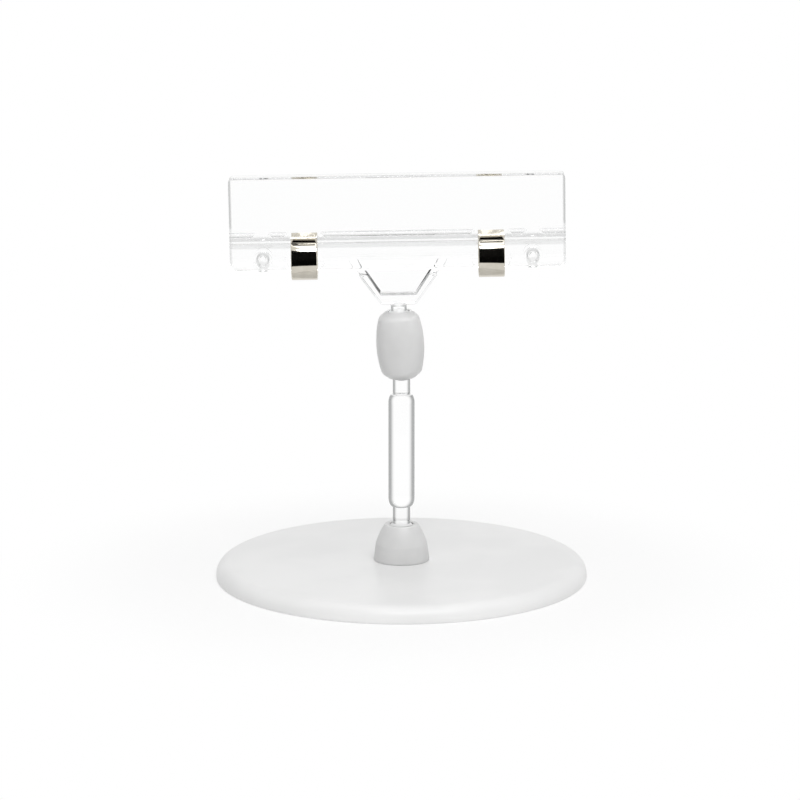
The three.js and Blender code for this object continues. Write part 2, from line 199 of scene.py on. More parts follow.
class Graph:
    """A node tree that is written node by node."""

    def __init__(self, tree: bpy.types.NodeTree) -> None:
        """Take over a tree."""
        self.tree = tree

    def node(
        self,
        kind: str,
        settings: Mapping[str, Any] | None = None,
        sockets: Mapping[str | int, Any] | None = None,
    ) -> bpy.types.Node:
        """Add one node.

        Args:
            kind: The node's type.
            settings: Its own attributes, set first.
            sockets: Values or links of its inputs, by name or number.

        Returns:
            The new node.
        """
        node = self.tree.nodes.new(kind)
        for name, setting in (settings or {}).items():
            setattr(node, name, setting)
        for key, value in (sockets or {}).items():
            if isinstance(value, Value):
                self.tree.links.new(value.socket, node.inputs[key])
            else:
                node.inputs[key].default_value = value
        return node

    def value(self, kind: str, output: str | int, settings: Any = None, sockets: Any = None) -> Value:
        """One output, by name or number, of a new node that is made as in node."""
        return Value(self, self.node(kind, settings, sockets).outputs[output])

    def place(self) -> Value:
        """The point on the surface, in the object's own coordinates."""
        return self.value("ShaderNodeTexCoord", "Object")

    def along(self, axis: str) -> Value:
        """One of the surface point's coordinates, in metres."""
        return self.value("ShaderNodeSeparateXYZ", axis, None, {0: self.place()})

    def facing_way(self, axis: str) -> Value:
        """How far the surface faces along one of the object's own axes, from -1 to 1."""
        normal = self.value("ShaderNodeTexCoord", "Normal")
        return self.value("ShaderNodeSeparateXYZ", axis, None, {0: normal})

    def ray(self, output: str) -> Value:
        """What is known of the ray that meets the surface."""
        return self.value("ShaderNodeLightPath", output)

    def noise(self, scale: float, detail: float, stretch: Triple = (1, 1, 1)) -> Value:
        """Soft noise over the surface.

        Args:
            scale: Waves in a metre.
            detail: How many finer layers lie on it.
            stretch: Scale of each axis.

        Returns:
            The noise, about 0.5.
        """
        mapped = self.value("ShaderNodeMapping", 0, None, {"Vector": self.place(), "Scale": stretch})
        sockets = {"Vector": mapped, "Scale": scale, "Detail": detail}
        return self.value("ShaderNodeTexNoise", "Fac", None, sockets)

    def blend(self, factor: Value, first: Colour, second: Colour) -> Value:
        """Two colours mixed.

        Args:
            factor: 0 gives the first colour and 1 the second.
            first: One colour.
            second: The other.

        Returns:
            The mixed colour.
        """
        sockets = {0: factor, 6: (*first, 1), 7: (*second, 1)}
        return self.value("ShaderNodeMix", 2, {"data_type": "RGBA"}, sockets)

    def bump(self, height: Value, depth: float) -> Value:
        """A bent normal for a relief from 0 to 1 that is so many millimetres deep."""
        return self.value("ShaderNodeBump", "Normal", None, {"Height": height, "Distance": depth * MM})

    def shader(self, kind: str, sockets: Mapping[str, Any] | None = None) -> Value:
        """A shader of one kind."""
        return self.value(kind, 0, None, sockets)

    def show(self, surface: Value, over: Value | None = None, share: Value | None = None) -> None:
        """Hand a shader out as the material's surface.

        Args:
            surface: The shader.
            over: A second shader that is mixed with it.
            share: How much of the second one shows.
        """
        if over:
            surface = self.value("ShaderNodeMixShader", 0, None, {0: share, 1: surface, 2: over})
        self.node("ShaderNodeOutputMaterial", None, {"Surface": surface})


def blank_material(name: str) -> tuple[bpy.types.Material, Graph]:
    """Start a material.

    Args:
        name: The material's name.

    Returns:
        The material and its empty graph.
    """
    material = bpy.data.materials.new(name)
    material.use_nodes = True
    material.node_tree.nodes.clear()
    return material, Graph(material.node_tree)


@dataclass(frozen=True)
class Finish:
    """What dresses a piece."""

    look: Look

    def paint(self, graph: Graph) -> None:
        """Write the finish into an empty graph."""
        raise NotImplementedError

    def material(self) -> bpy.types.Material:
        """The finish as a new material.

        Returns:
            The material.
        """
        material, graph = blank_material(self.look.value)
        self.paint(graph)
        return material


@dataclass(frozen=True)
class Skin(Finish):
    """A closed surface whose tone is faintly clouded, with a fine grain on it.

    The cloud and the grain are each given by their waves in a metre and their finer layers, and by how much
    they add to the roughness.
    """

    colour: Colour
    shade: Colour
    roughness: float
    cloud: Pair
    grain: Pair
    grain_depth: float
    grain_gloss: float
    cloud_gloss: float = 0.0
    cloud_span: Pair = (0.3, 0.7)
    grain_stretch: Triple = (1.0, 1.0, 1.0)

    def constants(self) -> dict[str, Any]:
        """The shader's values that are the same all over."""
        raise NotImplementedError

    def shader(self, graph: Graph) -> Value:
        """The surface's shader.

        Args:
            graph: The material's graph.

        Returns:
            The shader.
        """
        cloud = graph.noise(*self.cloud).rise(*self.cloud_span)
        grain = graph.noise(*self.grain, self.grain_stretch)
        roughness = self.roughness + self.grain_gloss * (grain - 0.5)
        if self.cloud_gloss:
            roughness = roughness + self.cloud_gloss * cloud
        sockets = {
            "Base Color": graph.blend(cloud, self.colour, self.shade),
            "Roughness": roughness,
            "Normal": graph.bump(grain, self.grain_depth),
        }
        return graph.shader("ShaderNodeBsdfPrincipled", {**sockets, **self.constants()})

    def paint(self, graph: Graph) -> None:
        """Write the finish into an empty graph."""
        graph.show(self.shader(graph))


@dataclass(frozen=True)
class WhitePlastic(Skin):
    """Satin white moulded plastic with a fine spark-eroded grain."""

    look: Look = Look.WHITE
    colour: Colour = (0.815, 0.815, 0.812)
    shade: Colour = (0.785, 0.786, 0.784)
    roughness: float = 0.3
    cloud: Pair = (45.0, 3.0)
    grain: Pair = (2600.0, 3.0)
    grain_depth: float = 0.012
    grain_gloss: float = 0.08
    cloud_gloss: float = 0.04
    cloud_span: Pair = (0.35, 0.65)
    ior: float = 1.48

    def constants(self) -> dict[str, Any]:
        """The shader's values that are the same all over."""
        return {"IOR": self.ior}


@dataclass(frozen=True)
class FrostedPlastic(Skin):
    """Milky soft plastic with a matt skin, through which some light falls."""

    look: Look = Look.FROSTED
    colour: Colour = (0.68, 0.68, 0.678)
    shade: Colour = (0.645, 0.645, 0.643)
    roughness: float = 0.38
    cloud: Pair = (160.0, 2.0)
    grain: Pair = (3200.0, 3.0)
    grain_depth: float = 0.01
    grain_gloss: float = 0.12
    ior: float = 1.49
    milk: float = 0.85
    milk_depth: float = 2.5
    passed: Colour = (0.5, 0.5, 0.5)

    def constants(self) -> dict[str, Any]:
        """The shader's values that are the same all over.

        Returns:
            The values by socket.
        """
        return {
            "IOR": self.ior,
            "Subsurface Weight": self.milk,
            "Subsurface Radius": (1.0, 1.0, 1.0),
            "Subsurface Scale": self.milk_depth * MM,
        }

    def paint(self, graph: Graph) -> None:
        """Write the finish into an empty graph."""
        through = graph.shader("ShaderNodeBsdfTransparent", {"Color": (*self.passed, 1)})
        graph.show(self.shader(graph), through, graph.ray("Is Shadow Ray"))


@dataclass(frozen=True)
class GroundBall(FrostedPlastic):
    """Ground plastic on the balls, pale and closed."""

    look: Look = Look.BALL
    colour: Colour = (0.82, 0.82, 0.82)
    shade: Colour = (0.78, 0.78, 0.78)
    milk: float = 0.0


@dataclass(frozen=True)
class NickelStrip(Skin):
    """Bright nickel plate, with the strip's rolling lines along its length."""

    look: Look = Look.NICKEL
    colour: Colour = (0.65, 0.615, 0.545)
    shade: Colour = (0.60, 0.565, 0.49)
    roughness: float = 0.055
    cloud: Pair = (500.0, 2.0)
    grain: Pair = (5200.0, 2.0)
    grain_depth: float = 0.0015
    grain_gloss: float = 0.05
    cloud_gloss: float = 0.02
    grain_stretch: Triple = (1.0, 0.03, 0.03)

    def constants(self) -> dict[str, Any]:
        """The shader's values that are the same all over."""
        return {"Metallic": 1.0}


@dataclass(frozen=True)
class ClearPlastic(Finish):
    """Water-clear plastic, with grey shade painted into its colour where its skin turns away.

    Light that is mirrored inside it more than the trapped number of times goes straight on.
    """

    colour: Colour = (0.997, 0.998, 0.998)
    # Painted shade: the grey mixed into the colour where the skin turns away, for the dark lines its edges
    # show
    edge: Colour = (0.2, 0.205, 0.205)
    passed: Colour = (0.965, 0.968, 0.968)
    roughness: float = 0.012
    mirror: Colour = (0.25, 0.25, 0.25)
    haze: float = 0.03
    haze_patches: Pair = (70.0, 4.0)
    haze_span: Pair = (0.5, 0.75)
    flow: Pair = (240.0, 1.0)
    flow_stretch: Triple = (1.0, 1.0, 0.25)
    flow_depth: float = 0.004
    ior: float = 1.36
    trapped: float = 1.5

    def painted_shade(self, graph: Graph) -> Value:
        """How much grey shade is painted into the skin's colour, from 0 to 1."""
        raise NotImplementedError

    def hazed(self, graph: Graph) -> Value:
        """How much rougher than polished the skin is."""
        return self.haze * graph.noise(*self.haze_patches).rise(*self.haze_span)

    def paint(self, graph: Graph) -> None:
        """Write the finish into an empty graph.

        Args:
            graph: The material's graph.
        """
        flow = graph.noise(*self.flow, self.flow_stretch)
        sockets = {
            # Painted shade: the edge grey is mixed into the base colour by the mask
            "Base Color": graph.blend(self.painted_shade(graph), self.colour, self.edge),
            "Roughness": self.roughness + self.hazed(graph),
            "Normal": graph.bump(flow, self.flow_depth),
            "IOR": self.ior,
            "Specular Tint": (*self.mirror, 1),
            "Transmission Weight": 1.0,
        }
        clear = graph.shader("ShaderNodeBsdfPrincipled", sockets)
        through = graph.shader("ShaderNodeBsdfTransparent", {"Color": (*self.passed, 1)})
        trapped = graph.ray("Glossy Depth").above(self.trapped)
        graph.show(clear, through, graph.ray("Is Shadow Ray").larger(trapped))


@dataclass(frozen=True)
class ClearRod(ClearPlastic):
    """Clear turned plastic, with grey shade painted into its colour where the eye runs along its round side.
    """

    look: Look = Look.ROD
    side: Pair = (0.14, 0.45)
    level: Pair = (0.6, 0.85)

    def painted_shade(self, graph: Graph) -> Value:
        """How much grey shade is painted into the skin's colour, from 0 to 1: more where the skin turns from
        the eye, less where it faces up.
        """
        # Painted shade: grey by how far the skin turns from the eye
        facing = graph.value("ShaderNodeLayerWeight", "Facing")
        return facing.rise(*self.side) * (1 - graph.facing_way("Z").rise(*self.level))


@dataclass(frozen=True)
class ClearMoulding(ClearPlastic):
    """The front jaw's clear plastic, with grey shade painted into its colour at its ends, rounded corners,
    bosses and beads.

    Places are in metres from the pivot line's middle. A turn is a span of squared shares of the normal.
    """

    look: Look = Look.FRONT_JAW
    # Painted shade: the grey mixed into the colour at the ends, corners, boss rings, groove lines, yoke and
    # cheeks
    edge: Colour = (0.16, 0.165, 0.165)
    ior: float = 1.46
    pivot: Point = (-0.000865, 0.07853)
    roll: float = 0.96
    end: Pair = (0.0393, 0.0398)
    end_share: float = 0.28
    foot_share: float = 0.12
    foot_head: Pair = (0.007, 0.008)
    corner_turn: Pair = (0.2, 0.7)
    corner_share: float = 0.8
    boss: float = 0.0322
    boss_ring: Pair = (0.0012, 0.00145)
    boss_fade: Pair = (0.7, 1.3)
    boss_share: float = 0.3
    groove_foot: Pair = (0.0022, 0.0028)
    groove_head: Pair = (0.0051, 0.0053)
    groove_lines: Pair = (0.0032, 0.0049)
    groove_spread: Pair = (0.0001, 0.0006)
    groove_share: float = 0.32
    slope_turn: Pair = (0.15, 0.6)
    slope_haze: float = 0.3
    arm_turn: Pair = (0.1, 0.35)
    arm_head: Pair = (-0.0036, -0.0031)
    arm_window: float = 0.0026
    window_turn: Pair = (-0.2, 0.2)
    bar_turn: Pair = (0.1, 0.5)
    bar_head: Pair = (-0.0088, -0.0085)
    arm_share: float = 0.0
    cheek_turn: Pair = (0.3, 0.8)
    cheek_end: Pair = (0.0385, 0.039)
    cheek_head: Pair = (0.0065, 0.007)
    cheek_share: float = 0.8

    def spot(self, graph: Graph) -> tuple[Value, Value]:
        """Where a spot of the skin lies, with the clip's lean taken out.

        Args:
            graph: The material's graph.

        Returns:
            How far across it is, and how high over the pivot line.
        """
        turn = math.radians(self.roll)
        x = graph.along("X") - self.pivot[0]
        z = graph.along("Z") - self.pivot[1]
        return x * math.cos(turn) + z * math.sin(turn), z * math.cos(turn) - x * math.sin(turn)

    def squared(self, graph: Graph, axes: str) -> list[Value]:
        """How squarely the skin faces along each axis, either way, from 0 to 1."""
        return [graph.facing_way(axis) * graph.facing_way(axis) for axis in axes]

    def ring(self, aside: Value, height: Value) -> Value:
        """1 on a ring about each boss, where grey shade is painted, and 0 elsewhere.

        Args:
            aside: How far to either side a spot lies.
            height: How high over the pivot line.

        Returns:
            The mask.
        """
        out = aside - self.boss
        apart = out * out + height * height
        inner, outer = (radius * radius for radius in self.boss_ring)
        shrunk, grown = self.boss_fade
        return apart.rise(shrunk * inner, inner) * (1 - apart.rise(outer, grown * outer))

    def yoke(self, graph: Graph, height: Value, wide: Value, deep: Value) -> Value:
        """1 on the slanted sides of the yoke's ribs and on its bar, where grey shade is painted, and 0
        elsewhere.

        Args:
            graph: The material's graph.
            height: How high over the pivot line a spot lies.
            wide: How squarely it faces sideways.
            deep: How squarely it faces forwards or back.

        Returns:
            The mask.
        """
        window = graph.facing_way("Z").rise(*self.window_turn) * self.arm_window
        arms = wide.rise(*self.arm_turn) * (1 - (height - window).rise(*self.arm_head))
        bar = (1 - deep).rise(*self.bar_turn) * (1 - height.rise(*self.bar_head))
        return arms.larger(bar)

    def painted_shade(self, graph: Graph) -> Value:
        """How much grey shade is painted into the skin's colour.

        Args:
            graph: The material's graph.

        Returns:
            The share of painted shade, from 0 to 1.
        """
        across, height = self.spot(graph)
        aside = abs(across)
        wide, deep, high = self.squared(graph, "XYZ")
        # Painted shade at the ends, rounded corners, groove lines, boss rings, yoke and cheeks
        end_share = self.foot_share + (self.end_share - self.foot_share) * height.rise(*self.foot_head)
        ends = aside.rise(*self.end) * end_share
        corners = (4 * wide * high).rise(*self.corner_turn) * self.corner_share
        lower, upper = (abs(height - line).rise(*self.groove_spread) for line in self.groove_lines)
        slopes = (1 - lower * upper) * self.groove_share
        rings = self.ring(aside, height) * self.boss_share
        yoke = self.yoke(graph, height, wide, deep) * self.arm_share
        inboard = (1 - aside.rise(*self.cheek_end)) * (1 - height.rise(*self.cheek_head))
        cheeks = wide.rise(*self.cheek_turn) * inboard * self.cheek_share
        return ends.larger(corners).larger(slopes).larger(rings).larger(yoke).larger(cheeks)

    def hazed(self, graph: Graph) -> Value:
        """How much rougher than polished the skin is: the groove comes from a blasted mould.

        Args:
            graph: The material's graph.

        Returns:
            What the haze adds to the roughness.
        """
        deep, high = self.squared(graph, "YZ")
        height = self.spot(graph)[1]
        groove = height.rise(*self.groove_foot) * (1 - height.rise(*self.groove_head))
        slopes = (4 * deep * high).rise(*self.slope_turn)
        return super().hazed(graph) + self.slope_haze * slopes * groove


@dataclass(frozen=True)
class RearMoulding(ClearMoulding):
    """The rear jaw's clear plastic, with grey shade painted into its colour on the yoke too."""

    look: Look = Look.REAR_JAW
    trapped: float = 2.5
    corner_share: float = 0.7
    groove_share: float = 0.05
    arm_share: float = 0.75
    cheek_share: float = 0.4


Looks = Mapping[Look, bpy.types.Material]


def make_looks() -> Looks:
    """Make every finish of the object once.

    Returns:
        The materials by look.
    """
    finishes: list[Finish] = [WhitePlastic(), FrostedPlastic(), NickelStrip(), ClearRod()]
    finishes += [GroundBall(), ClearMoulding(), RearMoulding()]
    return {finish.look: finish.material() for finish in finishes}


def arc(centre: Point, radius: float, start: float, end: float, steps: int) -> list[Point]:
    """Points on an arc.

    Args:
        centre: The arc's centre.
        radius: Its radius.
        start: First angle in degrees.
        end: Last angle in degrees.
        steps: How many chords it has.

    Returns:
        The points, both ends included.
    """
    angles = [math.radians(start + (end - start) * i / steps) for i in range(steps + 1)]
    return [(centre[0] + radius * math.cos(a), centre[1] + radius * math.sin(a)) for a in angles]


def bend(start: Vector, corner: Vector, end: Vector, steps: int) -> list[Point]:
    """Points on a curve that leaves for a corner and comes from it.

    Args:
        start: Its first point.
        corner: The corner.
        end: Its last point.
        steps: How many chords it has.

    Returns:
        The points, both ends included.
    """
    points: list[Point] = []
    for k in range(steps + 1):
        t = k / steps
        point = start * (1 - t) ** 2 + corner * (2 * t * (1 - t)) + end * t**2
        points.append((point.x, point.y))
    return points


def rounded(corners: Sequence[Corner], steps: int = 6, closed: bool = True) -> list[Point]:
    """An outline with each corner rounded off.

    Args:
        corners: Points with the radius of each.
        steps: Chords in a rounded corner.
        closed: Whether the last corner leads back to the first.

    Returns:
        The outline's points.
    """
    points: list[Point] = []
    count = len(corners)
    for i, (x, y, radius) in enumerate(corners):
        at_end = not closed and i in (0, count - 1)
        if not radius or at_end:
            points.append((x, y))
            continue
        corner = Vector((x, y))
        back = Vector(corners[i - 1][:2]) - corner
        ahead = Vector(corners[(i + 1) % count][:2]) - corner
        half = back.angle(ahead) / 2
        cut = min(radius / math.tan(half), CORNER_REACH * min(back.length, ahead.length))
        points += bend(corner + back.normalized() * cut, corner, corner + ahead.normalized() * cut, steps)
    return points


def mirrored(right: Sequence[Sequence[float]], middle: float = 0.0) -> list[Any]:
    """An outline that is the same left and right.

    Args:
        right: Points of its right half, whose first number is the distance from the middle.
        middle: Where its middle lies.

    Returns:
        The whole outline, from the left half's first point.
    """
    left = [(middle - x, *rest) for x, *rest in right]
    return [left[0], *[(middle + x, *rest) for x, *rest in right], *reversed(left[1:])]


def braced(profile: Sequence[Point], longest: float = 2.0, margin: float = 0.15) -> list[Point]:
    """A profile with extra points, so that smooth shading keeps its straight runs straight.

    Args:
        profile: The outline's points.
        longest: The longest run left undivided.
        margin: How close to a run's ends its first and last extra points lie.

    Returns:
        The profile with the points added.
    """
    points = [profile[0]]
    for a, b in zip(profile, profile[1:]):
        length = math.dist(a, b)
        shares: list[float] = []
        if length > 4 * margin:
            near = margin / length
            count = max(1, math.ceil((length - 2 * margin) / longest))
            shares = [near + (1 - 2 * near) * k / count for k in range(count + 1)]
        points += [(a[0] + (b[0] - a[0]) * s, a[1] + (b[1] - a[1]) * s) for s in shares]
        points.append(b)
    return points


def plain_mesh(
    name: str,
    points: Iterable[Sequence[float]],
    edges: Sequence[tuple[int, ...]] = (),
    faces: Sequence[tuple[int, ...]] = (),
) -> bpy.types.Mesh:
    """A mesh from its points.

    Args:
        name: The mesh's name.
        points: Its points in millimetres.
        edges: Its loose edges, by their points' numbers.
        faces: Its faces, by their points' numbers.

    Returns:
        The mesh, in metres.
    """
    mesh = bpy.data.meshes.new(name)
    mesh.from_pydata([tuple(c * MM for c in point) for point in points], edges, faces)
    return mesh


def chain(name: str, points: Sequence[Sequence[float]]) -> bpy.types.Mesh:
    """A mesh of edges from each point, in millimetres, to the next."""
    return plain_mesh(name, points, [(i, i + 1) for i in range(len(points) - 1)])


def placed(name: str, data: bpy.types.ID) -> bpy.types.Object:
    """A new object in the scene.

    Args:
        name: The object's name.
        data: Its mesh, lamp or camera.

    Returns:
        The object.
    """
    made = bpy.data.objects.new(name, data)
    bpy.context.scene.collection.objects.link(made)
    return made


def evaluated(mesh: bpy.types.Mesh, kind: str, settings: Mapping[str, Any]) -> bpy.types.Mesh:
    """A mesh with a modifier worked into it.

    Args:
        mesh: The mesh, which is used up.
        kind: The modifier's type.
        settings: Its settings; a key in square brackets is a tree's input.

    Returns:
        A new plain mesh.
    """
    holder = placed("form", mesh)
    modifier = holder.modifiers.new(kind.lower(), kind)
    for key, setting in settings.items():
        if key.startswith("["):
            modifier[key[1:-1]] = setting
        else:
            setattr(modifier, key, setting)
    graph = bpy.context.evaluated_depsgraph_get()
    result = bpy.data.meshes.new_from_object(holder.evaluated_get(graph), depsgraph=graph)
    bpy.data.objects.remove(holder)
    bpy.data.meshes.remove(mesh)
    return result


def outward(mesh: bpy.types.Mesh, sharp: float = 40.0, weld: float = 1e-7) -> bpy.types.Mesh:
    """Weld a mesh, point its faces outwards and shade it smoothly.

    Args:
        mesh: The mesh to mend.
        sharp: Edges that turn by more than this many degrees stay sharp.
        weld: Points closer than this, in metres, become one; 0 leaves them as they are.

    Returns:
        The same mesh.
    """
    form = bmesh.new()
    form.from_mesh(mesh)
    if weld:
        bmesh.ops.remove_doubles(form, verts=form.verts, dist=weld)
    bmesh.ops.recalc_face_normals(form, faces=form.faces)
    if form.calc_volume(signed=True) < 0:
        bmesh.ops.reverse_faces(form, faces=form.faces)
    for face in form.faces:
        face.smooth = True
    form.to_mesh(mesh)
    form.free()
    mesh.set_sharp_from_angle(angle=math.radians(sharp))
    return mesh


class FormTree:
    """A Geometry Nodes tree with named inputs that turns an input mesh into a finished form."""

    def __init__(self, name: str, inputs: Mapping[str, str]) -> None:
        """Start a tree.

        Args:
            name: The tree's name.
            inputs: Socket types of its inputs, by name.
        """
        self.tree = bpy.data.node_groups.new(name, "GeometryNodeTree")
        self.graph = Graph(self.tree)
        face = self.tree.interface
        face.new_socket("Geometry", in_out="INPUT", socket_type="NodeSocketGeometry")
        face.new_socket("Geometry", in_out="OUTPUT", socket_type="NodeSocketGeometry")
        kinds = {**inputs, "Material": "NodeSocketMaterial"}
        made = {key: face.new_socket(key, in_out="INPUT", socket_type=kind) for key, kind in kinds.items()}
        self.identifiers = {key: socket.identifier for key, socket in made.items()}
        self.entry = self.graph.node("NodeGroupInput")

    def given(self, name: str) -> Value:
        """One of the tree's inputs."""
        return Value(self.graph, self.entry.outputs[name])

    def step(self, kind: str, sockets: Mapping[str | int, Any] | None = None) -> Value:
        """The first output of a new node."""
        return self.graph.value(kind, 0, None, sockets)

    def close(self, form: Value) -> None:
        """Realize, shade and dress the form, and hand it out.

        Args:
            form: The form as it is so far.
        """
        whole = self.step("GeometryNodeRealizeInstances", {0: form})
        smooth = self.step("GeometryNodeSetShadeSmooth", {0: whole})
        dressed = self.step("GeometryNodeSetMaterial", {0: smooth, "Material": self.given("Material")})
        self.graph.node("NodeGroupOutput", None, {0: dressed})

    def make(self, mesh: bpy.types.Mesh, values: Mapping[str, Any]) -> bpy.types.Mesh:
        """Run the tree.

        Args:
            mesh: What goes in, which is used up.
            values: The inputs by name.

        Returns:
            The form as a plain mesh.
        """
        settings: dict[str, Any] = {"node_group": self.tree}
        settings |= {f"[{self.identifiers[key]}]": value for key, value in values.items()}
        made = evaluated(mesh, "NODES", settings)
        made.materials.clear()
        made.materials.append(values["Material"])
        return made


class TurnedTree(FormTree):
    """Turns a profile of (radius, 0, height) points about the upright axis."""

    def __init__(self, weld: float = 1e-6) -> None:
        """Build the tree.

        Args:
            weld: Points closer than this, in metres, become one.
        """
        super().__init__("turned_profile", {"Sides": "NodeSocketInt"})
        graph = self.graph
        profile = self.given("Geometry")
        columns = self.given("Sides") + 1
        count = graph.value("GeometryNodeAttributeDomainSize", "Point Count", None, {0: profile})
        sheet = self.step("GeometryNodeMeshGrid", {"Vertices X": count, "Vertices Y": columns})
        index = self.step("GeometryNodeInputIndex")
        row = ((index + 0.5) / columns).floor()
        column = index - row * columns
        settings = {"data_type": "FLOAT_VECTOR", "domain": "POINT"}
        sockets = {0: profile, "Value": self.step("GeometryNodeInputPosition"), "Index": row}
        point = graph.value("GeometryNodeSampleIndex", 0, settings, sockets)
        radius, height = (graph.value("ShaderNodeSeparateXYZ", axis, None, {0: point}) for axis in "XZ")
        angle = column * math.tau / self.given("Sides")
        sockets = {0: radius * angle.cosine(), 1: radius * angle.sine(), 2: height}
        turned = self.step("ShaderNodeCombineXYZ", sockets)
        body = self.step("GeometryNodeSetPosition", {0: sheet, "Position": turned})
        self.close(self.step("GeometryNodeMergeByDistance", {0: body, "Distance": weld}))

    def form(self, profile: Sequence[Point], sides: int, material: bpy.types.Material) -> bpy.types.Mesh:
        """Turn one profile.

        Args:
            profile: (radius, height) points; a closed one ends where it starts.
            sides: Facets round the axis.
            material: Its finish.

        Returns:
            The turned mesh.
        """
        outline = chain("profile", [(r, 0.0, z) for r, z in profile])
        return outward(self.make(outline, {"Sides": sides, "Material": material}))

    def ball(self, height: float, size: float, material: bpy.types.Material) -> bpy.types.Mesh:
        """A ball of a given size about a height on the axis."""
        return self.form(arc((0, height), size / 2, -90, 90, BALL_STEPS), BALL_SIDES, material)


class SpokeTree(FormTree):
    """Stands copies of a rib round the upright axis."""

    def __init__(self, radius: float = 1e-6) -> None:
        """Build the tree.

        Args:
            radius: Radius in metres of the tiny ring that the copies stand on.
        """
        super().__init__("spokes", {"Count": "NodeSocketInt"})
        count = self.given("Count")
        ring = self.step("GeometryNodeMeshCircle", {"Vertices": count, "Radius": radius})
        index = self.step("GeometryNodeInputIndex")
        turn = self.step("ShaderNodeCombineXYZ", {2: (index + 0.5) * math.tau / count})
        sockets = {"Points": ring, "Instance": self.given("Geometry"), "Rotation": turn}
        self.close(self.step("GeometryNodeInstanceOnPoints", sockets))


class StripTree(FormTree):
    """Runs a flat strip with softened edges along a path."""

    def __init__(self, edge_steps: int = 3) -> None:
        """Build the tree.

        Args:
            edge_steps: Chords in a softened edge.
        """
        super().__init__("bent_strip", {key: "NodeSocketFloat" for key in ("Width", "Thickness", "Edge")})
        path = self.step("GeometryNodeMeshToCurve", {0: self.given("Geometry")})
        sockets = {"Width": self.given("Width"), "Height": self.given("Thickness")}
        section = self.step("GeometryNodeCurvePrimitiveQuadrilateral", sockets)
        sockets = {"Curve": section, "Count": edge_steps, "Radius": self.given("Edge")}
        eased = self.graph.value("GeometryNodeFilletCurve", 0, {"mode": "POLY"}, sockets)
        sockets = {"Curve": path, "Profile Curve": eased, "Fill Caps": True}
        self.close(self.step("GeometryNodeCurveToMesh", sockets))


class Solid:
    """A closed mesh in millimetres that is cut, joined and edged."""

    edge_facets: int = 2
    edge_angle: float = 35.0
    flat_angle: float = 20.0
    flat_weight: int = 100

    def __init__(self, mesh: bpy.types.Mesh) -> None:
        """Take over a mesh."""
        self.mesh = mesh

    @classmethod
    def prism(cls, outline: Sequence[Point], start: float, end: float, basis: Matrix) -> Solid:
        """An outline drawn out into a solid.

        Args:
            outline: Its points.
            start: Where it starts along the third axis.
            end: Where it ends.
            basis: Turns (u, v, along) into x, y and z.

        Returns:
            The solid.
        """
        form = bmesh.new()
        rings = [[form.verts.new(basis @ Vector((u, v, w))) for u, v in outline] for w in (start, end)]
        form.faces.new(rings[0])
        form.faces.new(list(reversed(rings[1])))
        count = len(outline)
        for i in range(count):
            k = (i + 1) % count
            form.faces.new((rings[0][i], rings[1][i], rings[1][k], rings[0][k]))
        bmesh.ops.recalc_face_normals(form, faces=form.faces)
        mesh = bpy.data.meshes.new("prism")
        form.to_mesh(mesh)
        form.free()
        return cls(mesh)

    @classmethod
    def front(cls, outline: Sequence[Point], near: float, far: float) -> Solid:
        """An (x, z) outline between two depths."""
        return cls.prism(outline, near, far, Matrix(((1, 0, 0), (0, 0, 1), (0, 1, 0))))

    @classmethod
    def side(cls, outline: Sequence[Point], left: float, right: float) -> Solid:
        """A (y, z) outline between two widths."""
        return cls.prism(outline, left, right, Matrix(((0, 0, 1), (1, 0, 0), (0, 1, 0))))

    @classmethod
    def plan(cls, outline: Sequence[Point], low: float, high: float) -> Solid:
        """An (x, y) outline between two heights."""
        return cls.prism(outline, low, high, Matrix.Identity(3))

    @classmethod
    def pin(cls, at: Point, near: float, far: float, radii: Pair, sides: int = 48) -> Solid:
        """A round pin along the depth.

        Args:
            at: Its (x, z) place.
            near: The depth of one end.
            far: The depth of the other.
            radii: The radius at each end.
            sides: Its facets.

        Returns:
            The pin.
        """
        solid = cls.front(arc((0, 0), 1.0, 0, 360 * (sides - 1) / sides, sides - 1), near, far)
        for vertex in solid.mesh.vertices:
            radius = radii[0] if abs(vertex.co.y - near) < abs(vertex.co.y - far) else radii[1]
            vertex.co.x = at[0] + vertex.co.x * radius
            vertex.co.z = at[1] + vertex.co.z * radius
        return solid

    def combine(self, other: Solid, how: Join) -> Solid:
        """Combine with another solid.

        Args:
            other: The other solid, which is used up.
            how: Whether it is added, cut away or kept in common.

        Returns:
            This solid.
        """
        tool = placed("tool", other.mesh)
        settings = {"operation": how.value, "solver": "MANIFOLD", "object": tool}
        self.mesh = evaluated(self.mesh, "BOOLEAN", settings)
        bpy.data.objects.remove(tool)
        bpy.data.meshes.remove(other.mesh)
        return self

    def edged(self, width: float) -> Solid:
        """Round the sharp edges.

        Args:
            width: How far back from the edge the rounding starts.

        Returns:
            This solid.
        """
        settings = {
            "width": width,
            "segments": self.edge_facets,
            "limit_method": "ANGLE",
            "angle_limit": math.radians(self.edge_angle),
            "use_clamp_overlap": False,
            "miter_outer": "MITER_ARC",
        }
        self.mesh = evaluated(self.mesh, "BEVEL", settings)
        return self

    def scaled(self) -> bpy.types.Mesh:
        """The solid's mesh, turned into metres."""
        self.mesh.transform(TO_METRES)
        return self.mesh

    def finished(self, place: Matrix, material: bpy.types.Material) -> bpy.types.Mesh:
        """Put the solid in its place, in metres, with normals that keep its flats flat.

        Args:
            place: Where it stands, in millimetres.
            material: Its finish.

        Returns:
            The finished mesh.
        """
        self.mesh.transform(TO_METRES @ place)
        outward(self.mesh, self.flat_angle, weld=0)
        self.mesh.materials.clear()
        self.mesh.materials.append(material)
        settings = {"weight": self.flat_weight, "keep_sharp": True}
        return evaluated(self.mesh, "WEIGHTED_NORMAL", settings)


